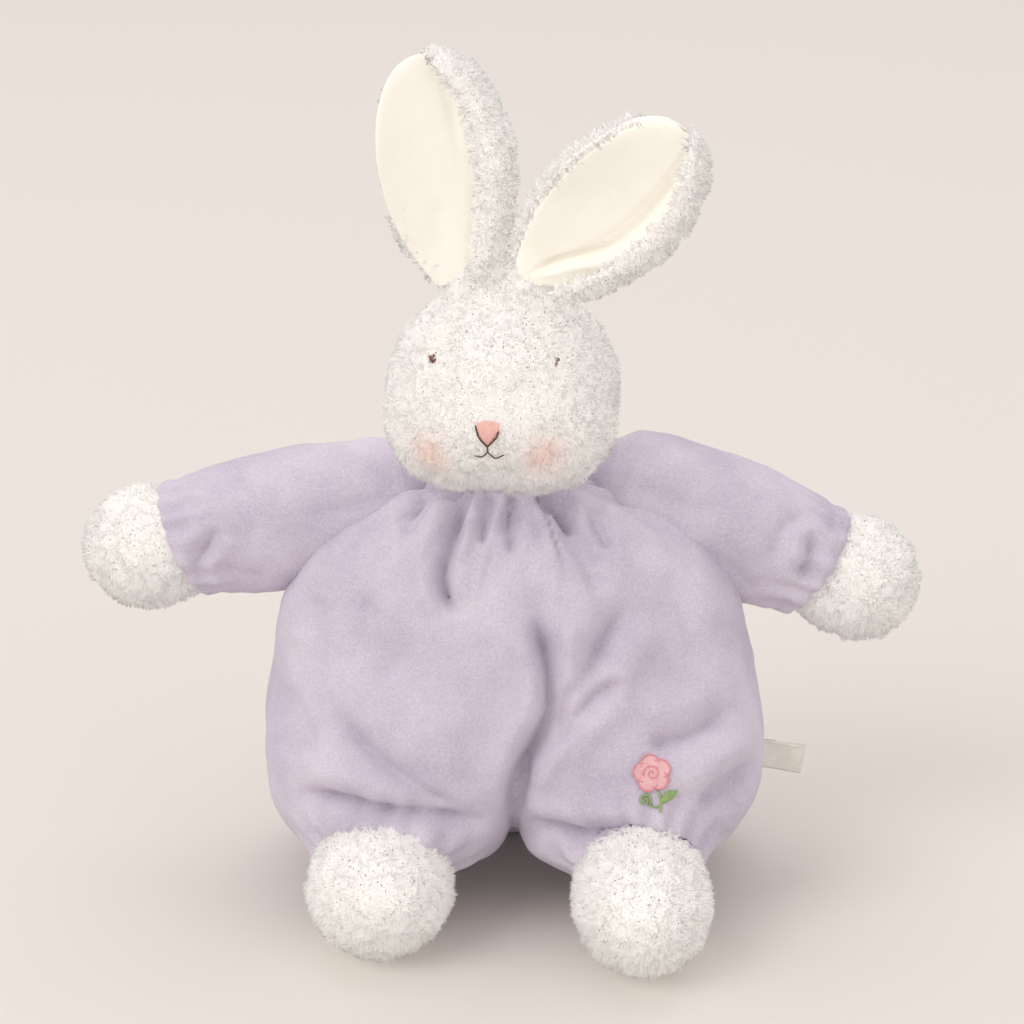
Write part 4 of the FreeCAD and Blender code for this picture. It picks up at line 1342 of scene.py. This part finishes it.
def ear_section(z, curl_radius, curl_degrees, overhang):
    """Middle line across the ear at a height: x, y and the forward normal's x and y."""
    width = float(ear_half_width(z))
    radius = min(curl_radius, 0.34 * width) + 1e-3
    curl_x = width - radius
    flat = int(EAR_COLUMNS * 0.62)
    x = np.linspace(-width - overhang * min(1, width / 6), curl_x, flat)
    y = cup_y(x)
    angle = np.arctan2(np.gradient(y, x) if width > 0.5 else np.zeros(flat), 1.0)
    last = angle[-1]
    # the +x edge rolls over to the front
    roll = np.linspace(0, math.radians(curl_degrees), EAR_COLUMNS - flat + 1)[1:]
    rolled_x = curl_x + radius * (np.sin(-last + roll) - np.sin(-last))
    rolled_y = y[-1] - radius * (np.cos(-last) - np.cos(-last + roll))
    angle = np.concatenate([angle, last - roll])
    x, y = np.concatenate([x, rolled_x]), np.concatenate([y, rolled_y])
    return np.stack([x, y, np.sin(angle), -np.cos(angle)])


def ear_slab(low, high, first, last, front, back, curl, overhang):
    """A closed slab between two offsets of the middle surface.

    It spans the heights low to high and the shares first to last of the width.
    """
    share = (1 - np.cos(np.linspace(0.02, 1, EAR_ROWS) * math.pi)) / 2
    columns = slice(int(first * EAR_COLUMNS), int(math.ceil(last * EAR_COLUMNS)))
    rings = []
    for z in (low + (high - low) * share)[:-1]:
        x, y, normal_x, normal_y = ear_section(z, *curl, overhang)[:, columns]
        u = np.linspace(0, 1, len(x))
        side_round = np.sqrt(np.clip(1 - np.abs(2 * u - 1) ** 10, 0.0, 1))
        end_round = math.sqrt(max(0, 1 - abs(2 * (z - low) / (high - low) - 1) ** 14))
        offsets = front(z, u), back(z, u)
        centre = (offsets[0] + offsets[1]) / 2
        ahead, behind = (
            np.stack([x + normal_x * out, y + normal_y * out, np.full(len(x), z)], -1)
            for out in (centre + (o - centre) * side_round * end_round for o in offsets)
        )
        rings.append(np.concatenate([ahead, behind[1:-1][::-1]]))
    return closed_loft(rings)


def ear_mask(p, curl_radius, creased):
    """No pile where the lining lies, or inside the roll."""
    x, y, z = p.T
    kept = np.ones(len(p))
    width = ear_half_width(z)
    radius = np.minimum(curl_radius, 0.34 * width)
    sheet_y = cup_y(x)
    curl_x = width - radius
    slope = np.arctan(-0.75 * curl_x / cup_root(curl_x))
    from_roll = np.hypot(
        x - (curl_x + radius * np.sin(slope)), y - (cup_y(curl_x) - radius * np.cos(slope))
    )
    lined = (z > 8) & (z < EAR_TIP - 2.5)
    ahead = y < sheet_y - 0.1
    kept[ahead & (y > sheet_y - 1.8) & (x < curl_x) & (x > -width + 1.2) & lined] = 0.0
    if creased:
        kept[(z > EAR_TIP - 9) & (x < 0.3 * width)] = 0.0
        kept[(x < -width + 2.5) & (z > 30)] *= 0.6
    else:
        kept[(z > EAR_TIP - 12) & (x < -0.1 * width)] = 0.0
        kept[(x < -width + 4.0) & (z > 36)] = 0.0
    kept[(from_roll < radius + 1.0) & (x > curl_x - 2.3 * radius) & lined & ahead] = 0.0
    return kept


def lining_front(z, u, creased):
    """Front offset of the lining: padded, with one long crease or a few shallow dents."""
    thick = 1.5 + (3.2 if creased else 1.6) * np.sin(np.clip(u, 0, 1) * math.pi) ** 0.6
    height = np.clip((z - 6) / (EAR_TIP - 10), 0, 1)
    if creased:
        place = 0.34 + 0.36 * float(ramp(-0.05, 0.42, height)) + 0.04 * float(height)
        fade = ramp(0.0, 0.15, height) * ramp(1.0, 0.80, height)
        lip = bell(u - place - 0.16, 0.085)
        thick = thick - 4.8 * bell(u - place, 0.055) * fade + 2.8 * lip * fade
    else:
        dent = bell(u - 0.42, 0.10) * bell(height - 0.30, 0.06)
        slanted = bell(u - 0.72 - 0.1 * (height - 0.8), 0.05) * bell(height - 0.72, 0.16)
        thick = thick - 1.0 * bell(u - 0.80, 0.06) - 1.2 * dent - 1.2 * slanted
    return 0.6 + np.maximum(thick, 0.25)


def uneven(shape, large, small):
    """Push a shape in and out by two noises, each (amount, cell, seed)."""
    points, faces = shape
    move = sum(amount * noise(points, cell, seed) for amount, cell, seed in (large, small))
    return points + move[:, None] * normals_of(points, faces), faces


def build_ear(side, sign, lean, tilt, twist, curl, seed, creased):
    """One ear; lean, tilt and twist are degrees about y, x and z; curl is (radius, degrees)."""
    root = JOINT[f"ear_{side}_flop"]
    turned = rotation("y", lean) @ rotation("x", tilt) @ rotation("z", twist)

    def placed(shape):
        return shape[0] @ turned.T + root, shape[1]

    slab = ear_slab(
        EAR_LOW, EAR_TIP - 1.2, 0, 1,
        lambda z, u: 0.6,
        lambda z, u: -2.4 - 0.5 * np.sin(u * math.pi),
        curl, 0.0 if creased else -1.3,
    )
    shape = uneven(placed(slab), (0.5, 16, seed), (0.25, 6, seed + 1))
    backing_piece(f"ear_plush_{side}", shape, f"ear_{side}", (f"ear_back_{side}",))
    fur(
        f"ear_pile_{side}", shape, f"ear_{side}", count=19500, pile=4.3, width=0.55,
        seed=seed + 5, grain=3.4, mask=lambda p: ear_mask((p - root) @ turned, curl[0], creased),
    )

    if creased:
        high, first, last, overhang = EAR_TIP - 0.6, 0.02, 0.70, 0.0
    else:
        high, first, last, overhang = EAR_TIP + 0.2, 0.0, 0.66, 0.9
    slab = ear_slab(
        4.0, high, first, last,
        lambda z, u: lining_front(z, u, creased),
        lambda z, u: 0.2,
        curl, overhang,
    )
    points, faces = uneven(placed(slab), (0.25, 11, seed + 8), (0.1, 4, seed + 9))
    piece(
        f"ear_lining_pad_{side}", (relax(points, faces, 0.3), faces), LINING, f"ear_{side}",
        "cream_lining", f"ear_lining_{side}",
    )

    body = f"ear_{side}_root"
    knob = backing(
        f"ear_knob_{side}", lambda p: ball(p, root, 5.6), root, 9, body, (f"ear_root_{side}",),
        60 + sign, cell=0.9, lump=0.3,
    )
    fur(
        f"ear_knob_pile_{side}", knob, body, count=2600, pile=4.2, width=0.55,
        seed=seed + 15, grain=3.4,
    )


build_ear("right", -1, lean=-9.5, tilt=1, twist=14, curl=(4.8, 205), seed=500, creased=False)
build_ear("left", 1, lean=41.5, tilt=15, twist=8, curl=(3.9, 180), seed=520, creased=True)


# ------------------------------------------------------------------ stitched face
def head_point(x, z, out):
    """A point over the front of the head, at the head's own x and z."""
    start, forward = head_place(x, -30.0, z), -HEAD_TURN[:, 1]
    inside, outside = -25.0, 30.0
    for _ in range(40):
        halfway = (inside + outside) / 2
        if head_field((start + forward * halfway)[None])[0] < 0:
            inside = halfway
        else:
            outside = halfway
    point = start + forward * inside
    return point + unit(gradient(head_field, point[None], 0.2)[0]) * out


def head_xz(place):
    """The head's own x and z of a place."""
    x, _, z = HEAD_TURN.T @ (place - HEAD_AT)
    return x, z


def build_nose():
    """Satin stitches side by side, longest in the middle."""
    nose_x, nose_z = head_xz(NOSE_AT)
    bulge = np.sin(np.linspace(0, math.pi, 14)) ** 0.5
    parts = []
    for i, x in enumerate(np.linspace(-3.8, 3.8, 17)):
        u = abs(x) / 4.0
        top = 3.6 - 1.0 * u**2 + 0.15 * math.sin(i * 2.1)
        bottom = -4.8 + 5.8 * u**1.5 + 0.2 * math.sin(i * 3.3)
        line = [
            head_point(nose_x + x, nose_z + z, 2.2 + 1.5 * b * (1 - 0.5 * u))
            for z, b in zip(np.linspace(top, bottom, 14), bulge)
        ]
        parts.append(tube(line, 0.42, 7))
    piece("nose_stitches", join(parts), NOSE, "head", "nose_thread", "nose_embroidery")


def build_mouth():
    nose_x, nose_z = head_xz(NOSE_AT)
    x, z = head_xz(MOUTH_AT)
    tip = (nose_x, nose_z - 5.2)
    fork = (x, z + 0.9)
    # stops, radius and number of points: the nose's edges, a short stem, two shallow arcs
    stitches = (
        ([(nose_x - 4.3, nose_z + 2.0), (nose_x - 3.0, nose_z - 2.0), tip], 0.38, 26),
        ([tip, (nose_x + 3.0, nose_z - 2.0), (nose_x + 4.0, nose_z + 0.2)], 0.38, 26),
        ([(nose_x, nose_z - 5.4), fork], 0.34, 8),
        ([fork, (x - 2.3, z - 1.0), (x - 5.0, z - 0.7)], 0.31, 26),
        ([fork, (x + 2.6, z - 1.3), (x + 5.6, z - 0.1)], 0.31, 26),
    )
    parts = []
    for stops, radius, count in stitches:
        line = [head_point(a, b, 3.2) for a, b in spline(stops, count)]
        parts.append(tube(line, radius * (1 + 0.12 * np.cos(np.arange(count) * 1.9)), 7))
    piece("mouth_stitches", join(parts), MOUTH, "head", "mouth_thread", "mouth_stitch")


def build_eye(side, sign, half_width, half_height, out):
    """A few upright stitches side by side, mostly sunk in the pile."""
    eye_x, eye_z = head_xz(EYE_AT[sign])
    bulge = np.sin(np.linspace(0, math.pi, 9)) ** 0.6
    parts = []
    for x in np.linspace(-half_width, half_width, 7):
        u = abs(x) / (half_width + 0.3)
        top = half_height * math.sqrt(1 - u * u)
        line = [
            head_point(eye_x + x + 0.25 * z, eye_z + z, out + 1.0 * b * (1 - 0.5 * u))
            for z, b in zip(np.linspace(top, -top, 9), bulge)
        ]
        parts.append(tube(line, 0.32, 7))
    piece(f"eye_stitches_{side}", join(parts), EYE, "head", "eye_thread", f"eye_{side}")


build_nose()
build_mouth()
build_eye("right", -1, half_width=1.5, half_height=2.1, out=1.9)
build_eye("left", 1, half_width=1.2, half_height=1.5, out=1.3)

# ------------------------------------------------------------------ embroidered flower
FLOWER_AT = middle("flower_patch")
FLOWER_SCALE = 0.9
PETAL_RADIUS = 3.9
PETAL_PITCH = 4.3  # from the flower's centre to a petal's
hit = SUIT_TREE.ray_cast(Vector(FLOWER_AT + np.array([0, -60, 10])), Vector((0, 1, -0.15)))
FLOWER_OUT = unit(np.array(hit[1]))
if FLOWER_OUT[1] > 0:
    FLOWER_OUT = -FLOWER_OUT
FLOWER_UP = unit(np.array([0, 0, 1.0]) - FLOWER_OUT * FLOWER_OUT[2])
FLOWER_X = np.cross(FLOWER_UP, FLOWER_OUT)
FLOWER_X = FLOWER_X * np.sign(FLOWER_X[0])


def on_cloth(x, z, lift):
    """A point over the romper, at x and z from the flower's centre."""
    flat = FLOWER_AT + FLOWER_X * x * FLOWER_SCALE + FLOWER_UP * z * FLOWER_SCALE
    start = flat + FLOWER_OUT * 30
    found = SUIT_TREE.ray_cast(Vector(start), Vector(-FLOWER_OUT))[0]
    point = np.array(found) if found is not None else start - FLOWER_OUT * 30
    return point + FLOWER_OUT * lift


def cloth_thread(line, lift, radius, sides=6):
    return tube([on_cloth(x, z, lift) for x, z in line], radius, sides)


def satin_disc(radius, spacing, angle, lift, centre=(0, 0)):
    """Parallel satin stitches that fill a circle."""
    cos, sin = math.cos(angle), math.sin(angle)
    parts = []
    along = np.linspace(-radius, radius, 80)
    for v in np.arange(-radius, radius + 1e-6, spacing):
        inside = along[np.hypot(along, v) < radius]
        if len(inside) < 5:
            continue
        line = []
        for t in np.linspace(0, 1, 9):
            u = inside[0] + (inside[-1] - inside[0]) * t
            x, z = centre[0] + cos * u - sin * v, centre[1] + sin * u + cos * v
            line.append(on_cloth(x, z, lift + 0.35 * math.sin(math.pi * t) ** 0.5))
        parts.append(tube(line, 0.36, 6))
    return parts


def flower_parts():
    """Five rounded petals and a round centre; their outlines and a coil."""
    petals, outlines = [], []
    for i in range(5):
        angle = TURN * i / 5 + 0.5
        x, z = PETAL_PITCH * math.cos(angle), PETAL_PITCH * math.sin(angle)
        petals += satin_disc(PETAL_RADIUS, 0.62, angle + 0.4, 0.3, (x, z))
        rim = [
            (x + PETAL_RADIUS * math.cos(t), z + PETAL_RADIUS * math.sin(t))
            for t in np.linspace(angle - 1.75, angle + 1.75, 22)
        ]
        outlines.append(cloth_thread(rim, 0.75, 0.36))
    turns = np.linspace(0, 9.6, 60)
    coil = [((0.35 + 0.36 * t) * math.cos(t), (0.35 + 0.36 * t) * math.sin(t)) for t in turns]
    outlines.append(cloth_thread(coil, 1.15, 0.34))
    petals += satin_disc(3.7, 0.6, 0.9, 0.55)
    return petals, outlines


def leaf_parts():
    """Stem, a leaf of short cross stitches, and a curled tendril."""
    stem = spline([(2.6, -7.8), (3.6, -11.5), (3.4, -16.8)], 18)
    parts = [cloth_thread(stem, 0.5, 0.55, 7)]
    for i, (x, z) in enumerate(spline([(3.8, -12.6), (6.6, -10.2), (10.6, -8.4)], 14)):
        wide = 1.9 * math.sin(math.pi * (i + 0.4) / 14.2)
        stitch = [
            on_cloth(x + 0.5 * wide, z - wide, 0.4),
            on_cloth(x + 0.1, z, 0.75),
            on_cloth(x - 0.3 * wide, z + wide, 0.4),
        ]
        parts.append(tube(stitch, 0.42, 6))
    tendril = [(3.3, -14.4), (1.2, -14.9)]
    for t in np.linspace(0, 9.5, 50):
        radius = 2.9 - 0.24 * t
        tendril.append((-3.2 + radius * math.cos(t - 0.9), -11.6 + radius * math.sin(t - 0.9)))
    parts.append(cloth_thread(tendril, 0.5, 0.45, 7))
    return parts


petals, outlines = flower_parts()
piece("flower_petals", join(petals), ROSE, "leg_left", "flower_thread", "flower_patch")
piece("flower_outline", join(outlines), ROSE_DARK, "leg_left", "flower_thread")
piece("flower_leaves", join(leaf_parts()), LEAF, "leg_left", "leaf_thread", "flower_stem")

# ------------------------------------------------------------------ side label
LABEL_AT = JOINT["label_flip"]
LABEL_TURN = rotation("z", 4) @ rotation("y", 13)
LABEL_WIDTH, LABEL_LENGTH = 12.5, 19.0
LABEL_GAP = 0.9  # half the distance between the two layers where they stand furthest


def label_half_gap(x):
    return LABEL_GAP * (0.6 + 0.4 * math.sin(max(x, 0) / LABEL_LENGTH * 3.0))


def label_point(x, y, v):
    """A point of the waved strip: out along it, through it, and -1..1 across it."""
    wave = 0.45 * math.sin(x * 0.3 + v) + 0.018 * x * math.sin(v * 1.5)
    local = np.array([x, y + wave, v * LABEL_WIDTH / 2 + 0.03 * x])
    return local @ LABEL_TURN.T + LABEL_AT


def build_label():
    """A folded strip with a thread near each edge."""
    fold_x = LABEL_LENGTH - 1.2
    run = np.linspace(-3, fold_x, 26)
    loop = [(x, -label_half_gap(x)) for x in run]
    for t in np.linspace(-math.pi / 2, math.pi / 2, 9)[1:-1]:
        loop.append((fold_x + 1.3 * math.cos(t), 1.0 * math.sin(t)))
    loop += [(x, label_half_gap(x)) for x in run[::-1]]
    rings = []
    for v in np.linspace(-1, 1, 22):
        thickness = 0.35 + 0.65 * math.sqrt(max(0.0, 1 - abs(v) ** 16))
        rings.append([label_point(x, y * thickness, v) for x, y in loop])
    parts = [closed_loft(rings)]
    for v in (-0.86, 0.86):
        stops = np.linspace(-2, LABEL_LENGTH - 1, 30)
        parts.append(tube([label_point(x, -label_half_gap(x) - 0.05, v) for x in stops], 0.28, 6))
    piece("label_folded", join(parts), TAPE, "label", "label_tape", "side_label")


build_label()


# ------------------------------------------------------------------ stage
def build_floor():
    bpy.ops.mesh.primitive_grid_add(x_subdivisions=8, y_subdivisions=8, size=14, location=(0, 0, 0))
    floor = bpy.context.object
    floor.name = "studio_floor"
    material, tree, shader = new_material("studio_floor")
    patches = add_node(tree, "TexNoise", {"Scale": 1.2}).outputs["Fac"]
    colour = mix_colour(tree, patches, rgb(219, 214, 210), rgb(225, 220, 215))
    inputs = {"Base Color": colour, "Roughness": 0.9, "Specular IOR Level": 0.1}
    fill_inputs(tree, shader, inputs)
    floor.data.materials.append(material)


def build_world():
    world = bpy.data.worlds.new("studio")
    bpy.context.scene.world = world
    world.use_nodes = True
    background = world.node_tree.nodes["Background"]
    background.inputs["Color"].default_value = rgb(248, 244, 240)
    background.inputs["Strength"].default_value = 0.90


def area_light(name, place, size, power, colour):
    """Square light, in metres and watts, aimed at the camera's target."""
    light = bpy.data.lights.new(name, "AREA")
    light.shape = "SQUARE"
    light.size = size
    light.energy = power
    light.color = colour
    obj = bpy.data.objects.new(name, light)
    bpy.context.scene.collection.objects.link(obj)
    obj.location = place
    aim = Vector(CAMERA_TARGET) * MM - Vector(place)
    obj.rotation_euler = aim.to_track_quat("-Z", "Y").to_euler()


def build_camera():
    camera = bpy.data.cameras.new("camera")
    camera.lens = 105.46875
    camera.sensor_width = 36
    camera.clip_start, camera.clip_end = 0.05, 60
    obj = bpy.data.objects.new("camera", camera)
    bpy.context.scene.collection.objects.link(obj)
    obj.location = Vector(CAMERA_AT) * MM
    obj.rotation_mode = "QUATERNION"
    obj.rotation_quaternion = Vector(VIEW).to_track_quat("-Z", "Y")
    bpy.context.scene.camera = obj


build_floor()
build_world()
area_light("key", place=(-2.4, -1.9, 3.0), size=2.2, power=47, colour=(1.0, 0.98, 0.95))
area_light("fill", place=(2.6, -2.4, 1.6), size=2.6, power=9, colour=(0.97, 0.98, 1.0))
area_light("top", place=(0.2, 1.6, 3.6), size=3.0, power=26, colour=(1.0, 0.99, 0.98))
build_camera()
bpy.context.scene.view_settings.view_transform = "Standard"
